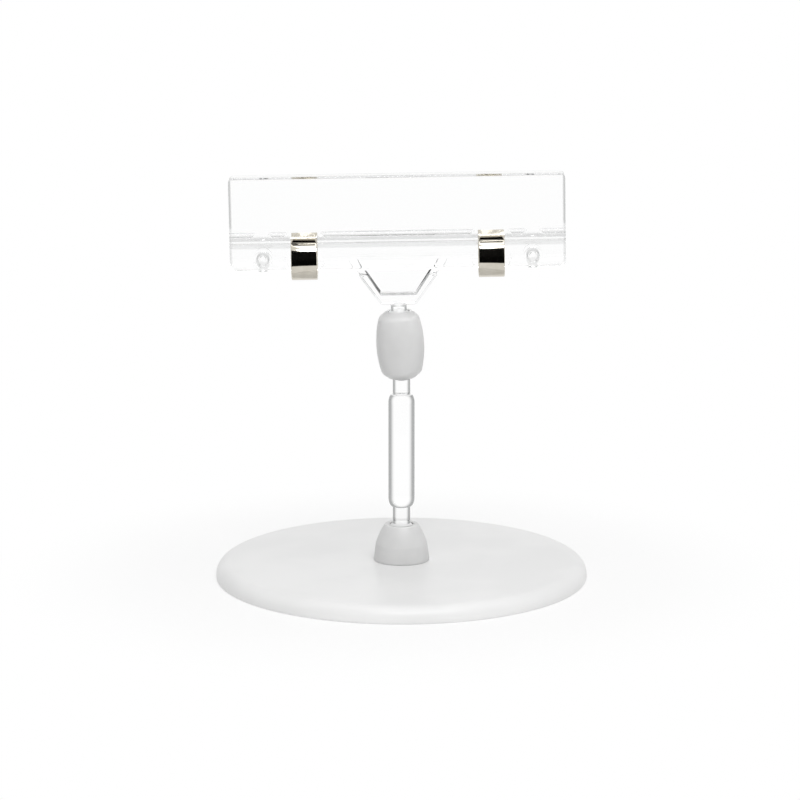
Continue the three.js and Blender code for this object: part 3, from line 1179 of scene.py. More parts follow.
def joined(meshes: Sequence[bpy.types.Mesh]) -> bpy.types.Mesh:
    """Several meshes as one, each with its own finish.

    Args:
        meshes: The meshes; all but the first are used up.

    Returns:
        The first mesh, with the others in it.
    """
    form = bmesh.new()
    looks: list[bpy.types.Material] = []
    indices: list[int] = []
    for mesh in meshes:
        looks += [material for material in mesh.materials if material not in looks]
        indices += [looks.index(mesh.materials[face.material_index]) for face in mesh.polygons]
        form.from_mesh(mesh)
    form.to_mesh(meshes[0])
    form.free()
    meshes[0].materials.clear()
    for material in looks:
        meshes[0].materials.append(material)
    meshes[0].polygons.foreach_set("material_index", indices)
    for mesh in meshes[1:]:
        bpy.data.meshes.remove(mesh)
    return meshes[0]


def stand(name: str, mesh: bpy.types.Mesh, node: str) -> bpy.types.Object:
    """Put a finished mesh into the scene in place of a CAD node.

    Args:
        name: The piece's name.
        mesh: Its mesh, in place.
        node: The node that it stands for.

    Returns:
        The piece.
    """
    mesh.name = name
    piece = placed(name, mesh)
    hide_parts(node)
    LOG.info("%s: %d faces in place of %s", name, len(mesh.polygons), node)
    return piece


@dataclass
class BallSeat:
    """A piece with a round seat that holds a ball behind a narrower mouth."""

    ball: float
    mouth: float
    flare: float = 0.0
    play: float = 0.3

    @property
    def seat_radius(self) -> float:
        """Radius of the ball's seat."""
        return self.ball / 2 + self.play

    @property
    def mouth_depth(self) -> float:
        """How far the seat's centre lies inside the piece's end."""
        return math.sqrt(self.seat_radius**2 - (self.mouth / 2) ** 2) + self.flare

    def opening(self, width: float) -> float:
        """The angle up the seat, in degrees, at which an opening of some width cuts it."""
        return math.degrees(math.acos(width / 2 / self.seat_radius))


@dataclass
class DeskBase(BallSeat):
    """White ribbed disc, with the frosted bell that holds the stem's lower ball snapped into it."""

    ball: float = 8.0
    mouth: float = 5.8
    diameter: float = 90.0
    height: float = 4.0
    skin: float = 2.0
    shoulder: float = 3.2
    disc_sides: int = 192
    rim_wall: float = 2.0
    rim_bevel: float = 0.3
    rim_ease: Pair = (0.1, 0.4)
    rim_round: float = 0.25
    wall_rounds: Pair = (0.2, 0.4)
    rib_count: int = 8
    rib_thickness: float = 1.4
    rib_round: float = 0.2
    rib_sink: float = 0.3
    rib_end: float = 0.6
    desk_gap: float = 0.6
    ring_rib: float = 50.0
    hub_rib: float = 19.0
    hole_round: float = 0.15
    bell_sides: int = 112
    bell_height: float = 8.9
    bell_foot: float = 13.5
    bell_foot_edge: float = 0.5
    bell_wall: float = 13.3
    bell_rounds: Triple = (0.12, 0.25, 0.5)
    bell_waist: float = 12.5
    bell_waist_height: float = 4.0
    bell_brow: float = 10.9
    bell_brow_height: float = 6.9
    bell_rim: float = 8.0
    bell_bore: float = 5.6
    stub: float = 8.6
    stub_rounds: Pair = (0.15, 0.2)
    lip_reach: float = 0.6
    lip_height: float = 1.0
    lip_rounds: Pair = (0.15, 0.1)
    slot_width: float = 1.2
    slot_over: float = 2.0

    @property
    def ball_height(self) -> float:
        """Height of the ball's centre above the desk."""
        return self.height + self.bell_height - self.mouth_depth

    @property
    def lip_radius(self) -> float:
        """Radius of the snap lip."""
        return self.stub / 2 + self.play + self.lip_reach

    @property
    def lip_top(self) -> float:
        """Height of the snap lip's upper face."""
        return self.height - self.skin - self.play

    @property
    def stub_end(self) -> float:
        """Height of the slotted stub's lower end."""
        return self.lip_top - self.lip_height

    def disc_profile(self) -> list[Point]:
        """The disc's section.

        Returns:
            Points from the hole's upper edge round to itself.
        """
        rim = self.diameter / 2
        hole = self.stub / 2 + self.play
        under = self.height - self.skin
        inner = rim - self.rim_wall
        half = self.rib_thickness / 2
        ease_in, ease_up = self.rim_ease
        wall_foot, wall_root = self.wall_rounds
        corner = (rim - self.shoulder, self.height - self.shoulder)
        shoulder = arc(corner, self.shoulder, 90, 0, ARC_STEPS)
        corners: list[Corner] = [(rim, ease_up, 0.0), (rim - ease_in, 0.0, self.rim_round)]
        corners += [(inner, 0.0, wall_foot), (inner - 2 * self.rim_bevel, under, wall_root)]
        for centre in (self.ring_rib / 2, self.hub_rib / 2):
            corners += [(centre + half, height, self.rib_round) for height in (under, self.desk_gap)]
            corners += [(centre - half, height, self.rib_round) for height in (self.desk_gap, under)]
        corners += [(hole, under, self.hole_round), (hole, self.height, 0.0)]
        below = rounded(corners, steps=5, closed=False)
        return braced([(hole, self.height), *shoulder, *below], longest=3.0)

    def bell_profile(self) -> list[Point]:
        """The bell's section: foot, wall, crown, seat, bore and snap lip.

        Returns:
            Points from the stub's root round to itself.
        """
        foot = self.bell_foot / 2
        bore = self.bell_bore / 2
        stub = self.stub / 2
        edge = self.height + self.bell_foot_edge
        foot_round, edge_round, wall_round = self.bell_rounds
        waist = Vector((self.bell_waist / 2, self.height + self.bell_waist_height))
        brow = Vector((self.bell_brow / 2, self.height + self.bell_brow_height))
        rim = Vector((self.bell_rim / 2, self.height + self.bell_height))
        crown = bend(waist, brow, rim, ARC_STEPS)
        corners: list[Corner] = [(stub, self.height, 0.0), (foot, self.height, foot_round)]
        corners += [(foot, edge, edge_round), (self.bell_wall / 2, edge + self.bell_foot_edge, wall_round)]
        wall = rounded([*corners, (*crown[0], 0.0)], closed=False)
        seat_ends = (self.opening(self.mouth), -self.opening(self.bell_bore))
        seat = arc((0, self.ball_height), self.seat_radius, *seat_ends, ARC_STEPS)
        bore_round, tip_round = self.stub_rounds
        nose_round, lip_round = self.lip_rounds
        corners = [(bore, self.height, 0.0), (bore, self.stub_end, bore_round)]
        corners += [(stub - self.lip_reach / 2, self.stub_end, tip_round)]
        corners += [(self.lip_radius, self.lip_top - self.lip_height / 3, nose_round)]
        corners += [(self.lip_radius, self.lip_top, lip_round), (stub, self.lip_top, lip_round)]
        snap = rounded([*corners, (stub, self.height, 0.0)], steps=4, closed=False)
        return braced([*wall, *crown[1:], *seat, *snap], longest=1.2, margin=0.1)

    def rib_mesh(self) -> bpy.types.Mesh:
        """One radial rib under the skin, along x.

        Returns:
            The rib, in metres.
        """
        rim = self.diameter / 2 - self.rim_wall + self.rim_bevel
        half = self.rib_thickness / 2
        right = [(half, self.desk_gap, self.rib_round), (half, self.height - self.skin + self.rib_sink, 0)]
        return Solid.side(rounded(mirrored(right), steps=4), self.hub_rib / 2, rim - self.rib_end).scaled()

    def slotted(self, mesh: bpy.types.Mesh) -> bpy.types.Mesh:
        """Cut the crossed slots that let the snap lip spring in.

        Args:
            mesh: The bell, in metres, which is used up.

        Returns:
            The cut bell.
        """
        reach = self.lip_radius + self.slot_over
        half = self.slot_width / 2
        bell = Solid(mesh)
        for along, across in ((reach, half), (half, reach)):
            outline = mirrored([(along, -across), (along, across)])
            cutter = Solid.plan(outline, self.stub_end - self.slot_over, self.height - self.play)
            bell.combine(Solid(cutter.scaled()), Join.CUT)
        return bell.mesh

    def build(self, turned: TurnedTree, looks: Looks) -> None:
        """Make and place both pieces.

        Args:
            turned: The tree that turns profiles.
            looks: The finishes.
        """
        white = looks[Look.WHITE]
        plate = turned.form(self.disc_profile(), self.disc_sides, white)
        ribs = SpokeTree().make(self.rib_mesh(), {"Count": self.rib_count, "Material": white})
        mesh = outward(joined([plate, outward(ribs)]))
        disc = stand("desk_disc", mesh, "base_disc")
        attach(disc, "base")
        whole = turned.form(self.bell_profile(), self.bell_sides, looks[Look.FROSTED])
        cut = outward(self.slotted(whole))
        # The cutters leave an empty second slot behind
        cut.materials.pop(index=1)
        bell = stand("ball_bell", cut, "base_socket")
        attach(bell, "base")


@dataclass
class Stem:
    """Clear rod with a ground ball on each end, measured from its lower ball."""

    base: DeskBase
    connector: Connector
    diameter: float = 6.35
    body_length: float = 27.85
    shoulder: float = 2.2
    shoulder_steps: int = 16
    neck: float = 4.2
    lower_neck: float = 4.35
    upper_neck: float = 3.97
    upper_ball: float = 7.0
    sink: float = 0.1

    @property
    def ball_spacing(self) -> float:
        """From the lower ball's centre to the upper one's."""
        necks = self.lower_neck + self.upper_neck
        return self.base.mouth_depth + necks + self.body_length + self.connector.mouth_depth

    def profile(self) -> list[Point]:
        """The rod's section.

        Returns:
            Points from just inside one ball to just inside the other.
        """
        start = self.base.mouth_depth + self.lower_neck
        end = start + self.body_length
        neck = self.neck / 2
        swell = self.diameter / 2 - neck
        low = math.sqrt((self.base.ball / 2) ** 2 - neck**2) - self.sink
        high = self.ball_spacing - math.sqrt((self.upper_ball / 2) ** 2 - neck**2) + self.sink
        rise: list[Point] = []
        for k in range(self.shoulder_steps + 1):
            angle = math.pi / 2 * k / self.shoulder_steps
            rise.append((neck + swell * math.sin(angle), self.shoulder * (1 - math.cos(angle))))
        points = [(0.0, low), (neck, low)]
        points += [(out, start + up) for out, up in rise]
        points += [(out, end - up) for out, up in reversed(rise)]
        points += [(neck, high), (0.0, high)]
        return braced(points)

    def build(self, turned: TurnedTree, looks: Looks) -> None:
        """Make and place the rod.

        Args:
            turned: The tree that turns profiles.
            looks: The finishes.
        """
        forms = [turned.form(self.profile(), ROD_SIDES, looks[Look.ROD])]
        for height, size in ((0.0, self.base.ball), (self.ball_spacing, self.upper_ball)):
            forms.append(turned.ball(height, size, looks[Look.BALL]))
        mesh = joined(forms)
        mesh.transform(Matrix.Translation((0, 0, self.base.ball_height * MM)))
        rod = stand("clear_stem", mesh, "stem")
        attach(rod, "stem")


@dataclass
class Connector(BallSeat):
    """Frosted barrel with a ball seat in each end, measured from its lower seat."""

    ball: float = 7.0
    mouth: float = 5.5
    flare: float = 0.18
    length: float = 16.3
    diameter: float = 11.5
    shoulder: float = 9.6
    shoulder_round: float = 2.1
    taper: float = 1.3
    tip: float = 6.2
    tip_round: float = 0.25
    bore: float = 3.0
    lean: float = 3.2
    wall_steps: int = 32
    shoulder_steps: int = 4

    @property
    def ball_spacing(self) -> float:
        """From one seat's centre to the other's."""
        return self.length - 2 * self.mouth_depth

    def wall(self) -> list[Corner]:
        """The bulging wall, from the lower shoulder to the upper one.

        Returns:
            Its points, of which only the shoulders are rounded.
        """
        swell = (self.diameter - self.shoulder) / 2
        inner = range(self.shoulder_steps, self.wall_steps - self.shoulder_steps + 1)
        points: list[Corner] = []
        for k in (0, *inner, self.wall_steps):
            along = k / self.wall_steps
            bulge = 1 - (2 * along - 1) ** 2
            height = self.taper - self.mouth_depth + (self.length - 2 * self.taper) * along
            radius = 0.0 if k in inner else self.shoulder_round
            points.append((self.shoulder / 2 + swell * bulge, height, radius))
        return points

    def profile(self) -> list[Point]:
        """The barrel's section.

        Returns:
            Points from the lower mouth round to itself.
        """
        bottom = -self.mouth_depth
        top = bottom + self.length
        lip = self.mouth / 2 + self.flare
        tip = self.tip / 2
        corners = [(lip, bottom, 0.0), (tip, bottom, self.tip_round), *self.wall()]
        corners += [(tip, top, self.tip_round), (lip, top, 0.0)]
        outside = rounded(corners, closed=False)
        mouth = self.opening(self.mouth)
        bore = self.opening(self.bore)
        upper = arc((0, self.ball_spacing), self.seat_radius, mouth, -bore, ARC_STEPS)
        lower = arc((0, 0), self.seat_radius, bore, -mouth, ARC_STEPS)
        return braced([*outside, *upper, *lower, (lip, bottom)], longest=1.0, margin=0.1)

    def build(self, turned: TurnedTree, looks: Looks, height: float) -> None:
        """Make and place the barrel.

        Args:
            turned: The tree that turns profiles.
            looks: The finishes.
            height: Height of the stem's upper ball above the desk.
        """
        mesh = turned.form(self.profile(), ROD_SIDES, looks[Look.FROSTED])
        lean = Matrix.Rotation(-math.radians(self.lean), 4, "Y")
        mesh.transform(Matrix.Translation((0, 0, height * MM)) @ lean)
        barrel = stand("frosted_barrel", mesh, "connector")
        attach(barrel, "connector")


@dataclass
class Clip:
    """Two clear jaws that rock on a pivot line, the yoke below them and the two strips that close them."""

    connector: Connector
    width: float = 80.0
    grip_height: float = 19.85
    lever_drop: float = 2.55
    jaw_gap: float = 0.3
    plate: float = 2.1
    lead_in: float = 0.9
    lead_round: float = 1.2
    top_round: float = 0.5
    pivot_land: float = 0.8
    land_round: float = 0.3
    upper_corner: float = 1.5
    lower_corner: float = 2.1
    lever_root: float = 0.7
    lever_flare: float = 1.5
    lever: float = 2.2
    lever_round: float = 0.6
    seat_reach: float = 2.7
    bead_height: float = 0.35
    bead_width: float = 0.3
    bead_round: float = 0.2
    bead_root_round: float = 0.8
    groove_width: float = 2.0
    groove_floor: float = 1.1
    groove_round: float = 0.6
    edge: float = 0.1
    cut_over: float = 1.0
    boss_spacing: float = 64.4
    boss: float = 4.6
    boss_proud: float = 0.6
    boss_gap: float = 3.0
    peg_hole: float = 2.6
    peg: float = 1.9
    peg_tip: float = 1.4
    peg_reach: float = 1.6
    pocket_top: float = 10.6
    pocket_foot: float = 7.2
    pocket_bevel: float = 1.1
    pocket_set: float = 0.1
    yoke_drop: float = 11.35
    yoke_top: float = 24.8
    yoke_foot: float = 8.2
    yoke_foot_round: float = 1.0
    yoke_rib: float = 2.3
    yoke_rib_foot: float = 1.6
    yoke_bar: float = 2.4
    yoke_depth: float = 4.4
    yoke_shelf: float = 4.15
    yoke_set: float = 0.5
    yoke_edge: float = 0.3
    window_round: float = 0.6
    web: float = 1.2
    web_set: float = 0.7
    web_lap: float = 0.5
    neck: float = 3.8
    neck_length: float = 1.83
    neck_flare: float = 0.6
    neck_round: float = 0.3
    neck_sink: float = 0.1
    spring_spacing: float = 44.6
    spring_gap: float = 8.0
    spring_width: float = 6.2
    spring_thickness: float = 0.5
    spring_ring: float = 10.6
    spring_ring_steps: int = 56
    spring_bend: float = 0.6
    spring_bend_steps: int = 14
    spring_lip: float = 1.3
    spring_lip_angle: float = 35.0
    spring_edge: float = 0.18
    spring_sharp: float = 60.0
    seat_gap: float = 0.3
    roll: float = 0.96

    @property
    def half_gap(self) -> float:
        """From the middle of the card slot to a jaw."""
        return self.jaw_gap / 2

    @property
    def plate_reach(self) -> float:
        """From the middle of the card slot to a plate's outer face."""
        return self.half_gap + self.plate

    @property
    def bead_reach(self) -> float:
        """From the middle of the card slot to the top of a bead."""
        return self.seat_reach + self.bead_height

    @property
    def lever_reach(self) -> float:
        """From the middle of the card slot to a lever's outer edge."""
        return self.bead_reach + self.lever_flare

    @property
    def ring_radius(self) -> float:
        """Radius of a strip's middle line round the pivot."""
        return (self.spring_ring - self.spring_thickness) / 2

    @property
    def pinch_reach(self) -> float:
        """From the middle of the card slot to a strip's middle line where it presses."""
        return self.seat_reach + self.seat_gap + self.spring_thickness / 2

    @property
    def bend_angle(self) -> float:
        """How far up the ring a strip leaves it for the pinch, in radians."""
        return math.acos((self.pinch_reach + self.spring_bend) / (self.ring_radius + self.spring_bend))

    @property
    def pinch_height(self) -> float:
        """Height of the pinch above the pivot line."""
        return (self.ring_radius + self.spring_bend) * math.sin(self.bend_angle)

    @property
    def pivot_over_ball(self) -> float:
        """From the clip's ball to the pivot line."""
        return self.yoke_drop + self.neck_length + self.connector.mouth_depth

    @property
    def bosses(self) -> Pair:
        """Where the bosses lie, from left to right."""
        return (-self.boss_spacing / 2, self.boss_spacing / 2)

    @property
    def springs(self) -> Pair:
        """Where the strips lie, from left to right."""
        return (-self.spring_spacing / 2, self.spring_spacing / 2)

    def place(self, ball_height: float) -> Matrix:
        """Where the pivot line stands.

        Args:
            ball_height: Height of the stem's upper ball above the desk.

        Returns:
            The clip's own frame, in millimetres.
        """
        lean = math.radians(self.connector.lean)
        roll = math.radians(self.roll)
        barrel = Matrix.Translation((0, 0, ball_height)) @ Matrix.Rotation(-lean, 4, "Y")
        clip = Matrix.Translation((0, 0, self.connector.ball_spacing)) @ Matrix.Rotation(lean - roll, 4, "Y")
        return barrel @ clip @ Matrix.Translation((0, 0, self.pivot_over_ball))

    def section(self, side: Side) -> list[Point]:
        """A jaw's (y, z) section: lead-in, flat grip face, groove between two beads, and lever.

        Args:
            side: Which jaw.

        Returns:
            The outline.
        """
        groove_top = self.pinch_height + self.groove_width / 2
        groove_bottom = self.pinch_height - self.groove_width / 2
        bead_top = groove_top + self.bead_width
        corners = [
            (self.half_gap + self.lead_in, self.grip_height, self.lead_round),
            (self.plate_reach, self.grip_height, self.top_round),
            (self.plate_reach, bead_top + self.bead_reach - self.plate_reach, self.bead_root_round),
            (self.bead_reach, bead_top, self.bead_round),
            (self.bead_reach, groove_top, self.groove_round),
            (self.seat_reach, self.pinch_height + self.groove_floor / 2, self.groove_round),
            (self.seat_reach, self.pinch_height - self.groove_floor / 2, self.groove_round),
            (self.bead_reach, groove_bottom, self.groove_round),
            (self.bead_reach, self.lever_root, self.bead_root_round),
            (self.lever_reach, -self.lever_drop, self.lever_round),
            (self.lever_reach - self.lever, -self.lever_drop, self.lever_round),
            (self.half_gap, -self.pivot_land / 2, self.land_round),
            (self.half_gap, self.grip_height - self.lead_in, self.lead_round),
        ]
        return rounded([(side.value * reach, height, radius) for reach, height, radius in corners], steps=10)

    def bead_gap(self, x: float, width: float, side: Side) -> Solid:
        """The gap in the upper bead, with bevelled ends, down to the plate's face.

        Args:
            x: Where its middle lies.
            width: How wide it is at the plate's face.
            side: Which jaw.

        Returns:
            The cutter.
        """
        floor = side.value * self.plate_reach
        mouth = side.value * (2 * self.bead_reach - self.plate_reach)
        outline = mirrored([(width / 2, floor), (width / 2 + 2 * self.pocket_bevel, mouth)], x)
        bottom = self.pinch_height + (self.groove_width + self.groove_floor) / 4
        top = bottom + self.groove_width + 2 * self.bead_width + self.bead_reach
        return Solid.plan(outline, bottom, top)

    def spring_pocket(self, x: float, side: Side) -> Solid:
        """The pocket in the flared lever that lets a strip pass, narrower at its foot.

        Args:
            x: Where its middle lies.
            side: Which jaw.

        Returns:
            The cutter.
        """
        foot = self.pocket_foot / 2
        right = [(foot, -self.lever_drop - self.lever), (foot, -self.lever_drop)]
        right += [(self.pocket_top / 2, self.lever_root)]
        floor = side.value * (self.bead_reach + self.pocket_set)
        reach = side.value * (self.lever_flare + self.lever)
        return Solid.front(mirrored(right, x), floor, floor + reach)

    def blank(self, side: Side) -> Solid:
        """A jaw without holes, pegs or yoke.

        Args:
            side: Which jaw.

        Returns:
            The solid, about the pivot line.
        """
        half = self.width / 2
        depth = self.lever_reach + self.cut_over
        right = [(half, -self.lever_drop, self.lower_corner), (half, self.grip_height, self.upper_corner)]
        jaw = Solid.side(self.section(side), -half - self.cut_over, half + self.cut_over)
        jaw.combine(Solid.front(rounded(mirrored(right), steps=8), -depth, depth), Join.COMMON)
        jaw.edged(self.edge)
        near = side.value * self.plate_reach
        far = side.value * (self.bead_reach + self.boss_proud)
        for x in self.bosses:
            jaw.combine(Solid.pin((x, 0), near, far, (self.boss / 2, self.boss / 2)), Join.ADD)
            jaw.combine(self.bead_gap(x, self.boss_gap, side), Join.CUT)
        for x in self.springs:
            jaw.combine(self.bead_gap(x, self.spring_gap, side), Join.CUT)
            jaw.combine(self.spring_pocket(x, side), Join.CUT)
        return jaw

    def front_jaw(self) -> Solid:
        """The front jaw, with a hole through each boss.

        Returns:
            The solid, about the pivot line.
        """
        jaw = self.blank(Side.FRONT)
        reach = self.lever_reach + self.boss_proud
        radius = self.peg_hole / 2
        for x in self.bosses:
            jaw.combine(Solid.pin((x, 0), -reach, reach, (radius, radius)), Join.CUT)
        return jaw

    def rear_jaw(self, turned: TurnedTree, material: bpy.types.Material) -> Solid:
        """The rear jaw, with its pegs, yoke and neck.

        Args:
            turned: The tree that turns profiles.
            material: Its finish.

        Returns:
            The solid, about the pivot line.
        """
        jaw = self.blank(Side.REAR)
        radii = (self.peg_tip / 2, self.peg / 2)
        for x in self.bosses:
            jaw.combine(Solid.pin((x, 0), -self.peg_reach, self.plate_reach / 2, radii), Join.ADD)
        jaw.combine(self.yoke(), Join.ADD)
        return jaw.combine(self.neck_stud(turned, material), Join.ADD)

    def yoke(self) -> Solid:
        """The slanted frame with a thin web, cut back above where the front lever swings.

        Returns:
            The solid, about the pivot line.
        """
        top = self.yoke_top / 2
        foot = self.yoke_foot / 2
        bar = self.yoke_bar - self.yoke_drop
        slope = (top - foot) / self.yoke_drop
        inner_foot = foot + slope * self.yoke_bar - self.yoke_rib_foot
        inner_top = top - self.yoke_rib
        inner_slope = (inner_top - inner_foot) / -bar
        rise = self.pivot_land / 2
        right = [
            (foot, -self.yoke_drop, self.yoke_foot_round),
            (top + slope * rise, rise, 0),
            (inner_top + inner_slope * rise, rise, 0),
            (inner_foot, bar, self.window_round),
        ]
        half = self.yoke_depth / 2
        ribs = Solid.front(rounded(mirrored(right)), -half, half)
        front = -self.yoke_depth - self.cut_over
        swing = [(front, -self.yoke_shelf), (self.yoke_set, -self.yoke_shelf)]
        swing += [(self.yoke_set, self.yoke_drop), (front, self.yoke_drop)]
        ribs.combine(Solid.side(swing, -self.yoke_top, self.yoke_top), Join.CUT)
        web_foot = (inner_foot + self.web_lap, bar - self.web_lap)
        sheet = mirrored([web_foot, (inner_top + self.web_lap, rise / 2)])
        ribs.combine(Solid.front(sheet, self.web_set, self.web_set + self.web), Join.ADD)
        return ribs.edged(self.yoke_edge)

    def neck_stud(self, turned: TurnedTree, material: bpy.types.Material) -> Solid:
        """The neck under the yoke's bar, from just inside the ball, turned about the clip's axis.

        Args:
            turned: The tree that turns profiles.
            material: Its finish.

        Returns:
            The solid, about the pivot line.
        """
        neck = self.neck / 2
        root = neck + self.neck_flare / 2
        low = math.sqrt((self.connector.ball / 2) ** 2 - neck**2) - self.neck_sink - self.pivot_over_ball
        top = -self.yoke_drop + self.yoke_bar / 2
        corners: list[Corner] = [(0.0, low, 0.0), (neck, low, 0.0)]
        corners += [(neck, -self.yoke_drop - self.neck_flare, self.neck_round), (root, -self.yoke_drop, 0.0)]
        corners += [(root, top, 0.0), (0.0, top, 0.0)]
        mesh = turned.form(rounded(corners, steps=4, closed=False), BALL_SIDES, material)
        mesh.transform(TO_MILLIMETRES)
        return Solid(mesh)

    def spring_path(self) -> list[Point]:
        """A strip's middle line in (y, z).

        Returns:
            Points from the rear lip round the pivot to the front lip.
        """
        leave = math.degrees(self.bend_angle)
        lip = 180 - self.spring_lip_angle
        half = arc((0, 0), self.ring_radius, -90, leave, self.spring_ring_steps)
        centre = (self.pinch_reach + self.spring_bend, self.pinch_height)
        half += arc(centre, self.spring_bend, 180 + leave, lip, self.spring_bend_steps)[1:]
        turn = math.radians(lip)
        end = Vector(half[-1]) + Vector((math.sin(turn), -math.cos(turn))) * self.spring_lip
        half.append((end.x, end.y))
        return [*reversed(half), *[(-y, z) for y, z in half[1:]]]

    def build_jaws(self, turned: TurnedTree, looks: Looks, place: Matrix) -> None:
        """Make and place the jaws.

        Args:
            turned: The tree that turns profiles.
            looks: The finishes.
            place: Where the pivot line stands.
        """
        material = looks[Look.REAR_JAW]
        mesh = self.rear_jaw(turned, material).finished(place, material)
        # The round neck has the rod's finish
        mesh.materials.append(looks[Look.ROD])
        foot = (place @ Vector((0, 0, -self.yoke_drop - self.neck_flare))).z * MM
        for face in mesh.polygons:
            face.material_index = int(face.center.z < foot)
        ball = turned.ball(-self.pivot_over_ball, self.connector.ball, looks[Look.BALL])
        ball.transform(TO_METRES @ place @ TO_MILLIMETRES)
        rear = stand("rear_jaw_moulding", joined([mesh, ball]), "rear_jaw")
        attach(rear, "clip")
        mesh = self.front_jaw().finished(place, looks[Look.FRONT_JAW])
        front = stand("front_jaw_moulding", mesh, "front_jaw")
        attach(front, "front_jaw")

    def build_strips(self, looks: Looks, place: Matrix) -> None:
        """Make and place the strips.

        Args:
            looks: The finishes.
            place: Where the pivot line stands.
        """
        tree = StripTree()
        values = {
            "Width": self.spring_width * MM,
            "Thickness": self.spring_thickness * MM,
            "Edge": self.spring_edge * MM,
            "Material": looks[Look.NICKEL],
        }
        for name, x in zip(("left", "right"), self.springs):
            path = chain("strip_path", [(x, y, z) for y, z in self.spring_path()])
            mesh = outward(tree.make(path, values), self.spring_sharp)
            mesh.transform(TO_METRES @ place @ TO_MILLIMETRES)
            strip = stand(f"strip_{name}", mesh, f"spring_{name}")
            ends = [place @ Vector((x, y, 0)) * MM for y in (self.ring_radius, -self.ring_radius)]
            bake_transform(strip)

    def build(self, turned: TurnedTree, looks: Looks, ball_height: float) -> None:
        """Make and place the jaws and the strips.

        Args:
            turned: The tree that turns profiles.
            looks: The finishes.
            ball_height: Height of the stem's upper ball above the desk.
        """
        place = self.place(ball_height)
        self.build_jaws(turned, looks, place)
        self.build_strips(looks, place)


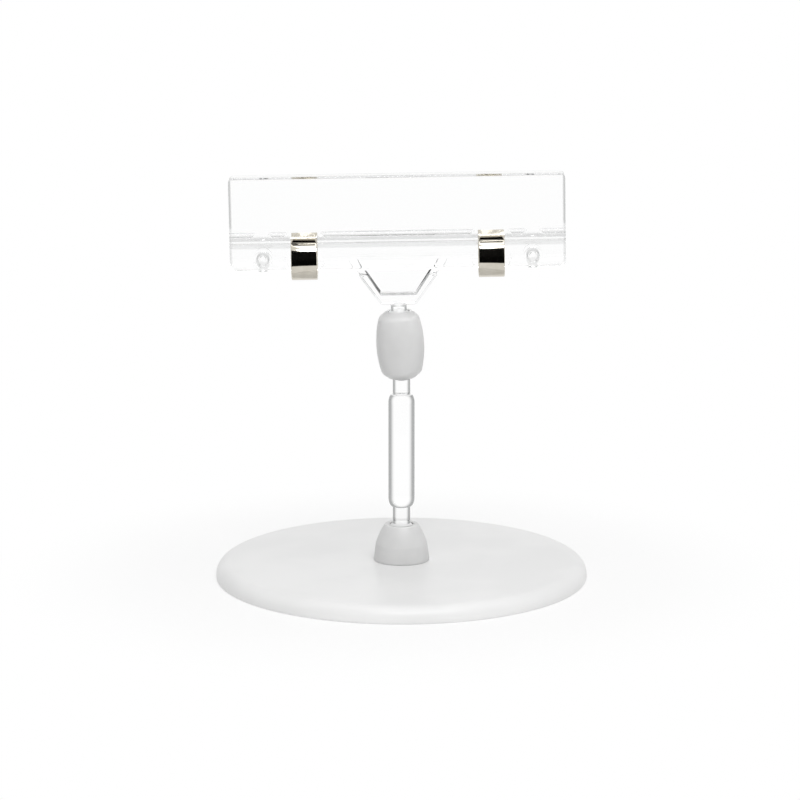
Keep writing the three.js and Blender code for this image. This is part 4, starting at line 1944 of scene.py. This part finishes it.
@dataclass
class Studio:
    """Pale floor, soft lamps, a dark flag for the metal to mirror, and the photograph's camera."""

    focal_pixels: float = 3500.0
    picture_pixels: float = 800.0
    sensor: float = 36.0
    clip_metres: Pair = (0.01, 50.0)
    pitch: float = 11.9
    distance: float = 842.6
    aim: Triple = (-0.36, 0.0, 43.5)
    floor_half: float = 4000.0
    floor_sink: float = 0.05
    floor_colour: Colour = (0.92, 0.92, 0.92)
    floor_shade: Colour = (0.9062, 0.9062, 0.9062)
    floor_cloud: Pair = (12.0, 2.0)
    floor_cloud_span: Pair = (0.2, 0.8)
    floor_shown: float = 0.7
    floor_fade: Pair = (0.045, 0.1)
    flag_radius: float = 110.0
    flag_angles: Pair = (215.0, 325.0)
    flag_steps: int = 32
    flag_heights: Pair = (12.0, 180.0)
    flag_colour: Colour = (0.004, 0.004, 0.004)
    flag_shade: Colour = (0.007, 0.007, 0.007)
    flag_pile: Pair = (300.0, 2.0)
    lamp_aim: Triple = (0.0, 0.0, 0.04)
    ambient: float = 0.5

    def camera(self) -> None:
        """Stand the camera where the photograph was taken from."""
        data = bpy.data.cameras.new("photograph")
        data.sensor_width = self.sensor
        data.lens = self.focal_pixels * self.sensor / self.picture_pixels
        data.clip_start, data.clip_end = self.clip_metres
        camera = placed("photograph", data)
        pitch = math.radians(self.pitch)
        away = Vector((0, -math.cos(pitch), math.sin(pitch))) * self.distance
        camera.location = (Vector(self.aim) + away) * MM
        camera.rotation_euler = (math.pi / 2 - pitch, 0, 0)
        bpy.context.scene.camera = camera

    def seen(self, graph: Graph) -> Value:
        """1 for rays that show the background to the eye: straight, in metal or through plastic."""
        camera, glossy, clear = (graph.ray(f"Is {kind} Ray") for kind in ("Camera", "Glossy", "Transmission"))
        return camera.larger(glossy).larger(clear)

    def floor(self) -> None:
        """The pale floor, which keeps the object's shadow."""
        right = [(self.floor_half, -self.floor_half), (self.floor_half, self.floor_half)]
        points = [(x, y, -self.floor_sink) for x, y in mirrored(right)]
        mesh = plain_mesh("floor", points, faces=[(0, 1, 2, 3)])
        material, graph = blank_material("floor_paper")
        paper = graph.noise(*self.floor_cloud).rise(*self.floor_cloud_span)
        tone = graph.blend(paper, self.floor_colour, self.floor_shade)
        lit = graph.shader("ShaderNodeBsdfDiffuse", {"Color": tone})
        glow = graph.shader("ShaderNodeEmission", {"Color": WHITE, "Strength": 1.0})
        reach = graph.value("ShaderNodeVectorMath", "Value", {"operation": "LENGTH"}, {0: graph.place()})
        shown = self.floor_shown + (1 - self.floor_shown) * reach.rise(*self.floor_fade)
        graph.show(lit, glow, self.seen(graph) * shown)
        mesh.materials.append(material)
        floor = placed("floor", mesh)

    def flag(self) -> None:
        """A dark flag before the object that only mirror-like surfaces see."""
        outline = arc((0, 0), self.flag_radius, *self.flag_angles, self.flag_steps)
        points = [(x, y, z) for z in self.flag_heights for x, y in outline]
        count = len(outline)
        faces = [(i, i + 1, count + i + 1, count + i) for i in range(count - 1)]
        mesh = plain_mesh("dark_flag", points, faces=faces)
        material, graph = blank_material("flag_velvet")
        tone = graph.blend(graph.noise(*self.flag_pile), self.flag_colour, self.flag_shade)
        velvet = graph.shader("ShaderNodeBsdfDiffuse", {"Color": tone})
        clear = graph.shader("ShaderNodeBsdfTransparent")
        graph.show(velvet, clear, graph.ray("Transmission Depth").above(0))
        mesh.materials.append(material)
        flag = placed("dark_flag", mesh)
        for kind in ("camera", "diffuse", "transmission", "shadow", "volume_scatter"):
            setattr(flag, f"visible_{kind}", False)

    def lamp(self, name: str, at: Triple, size: Pair, power: float) -> None:
        """One soft lamp that faces the object.

        Args:
            name: The lamp's name.
            at: Its place in metres.
            size: Its width and height in metres.
            power: Its power in watts.
        """
        data = bpy.data.lights.new(name, "AREA")
        data.shape = "RECTANGLE"
        data.size, data.size_y = size
        data.energy = power
        lamp = placed(name, data)
        lamp.location = at
        aim = Vector(self.lamp_aim) - Vector(at)
        lamp.rotation_euler = aim.to_track_quat("-Z", "Y").to_euler()

    def world(self) -> None:
        """White surroundings for the eye, and a soft even light from all round."""
        world = bpy.data.worlds.new("surroundings")
        world.use_nodes = True
        world.node_tree.nodes.clear()
        graph = Graph(world.node_tree)
        shown = self.seen(graph)
        strength = shown + (1 - shown) * self.ambient
        light = graph.shader("ShaderNodeBackground", {"Color": WHITE, "Strength": strength})
        graph.node("ShaderNodeOutputWorld", None, {"Surface": light})
        bpy.context.scene.world = world

    def build(self) -> None:
        """Set up the whole studio."""
        bpy.context.scene.view_settings.view_transform = "Standard"
        self.camera()
        self.floor()
        self.flag()
        self.world()
        self.lamp("front_softbox", at=(0.14, -0.585, 0.8), size=(0.7, 0.24), power=4.1)
        self.lamp("fill_softbox", at=(0.0, -0.3, 0.16), size=(0.4, 0.15), power=0.1)
        self.lamp("top_softbox", at=(0.1, -0.2, 0.95), size=(0.7, 0.44), power=1.1)


def main() -> None:
    """Build the object piece by piece, then the studio."""
    logging.basicConfig(level=logging.INFO, format="%(message)s")
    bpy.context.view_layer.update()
    looks = make_looks()
    turned = TurnedTree()
    base = DeskBase()
    connector = Connector()
    stem = Stem(base, connector)
    ball_height = base.ball_height + stem.ball_spacing
    base.build(turned, looks)
    stem.build(turned, looks)
    connector.build(turned, looks, ball_height)
    Clip(connector).build(turned, looks, ball_height)
    Studio().build()


if __name__ == "__main__":
    main()
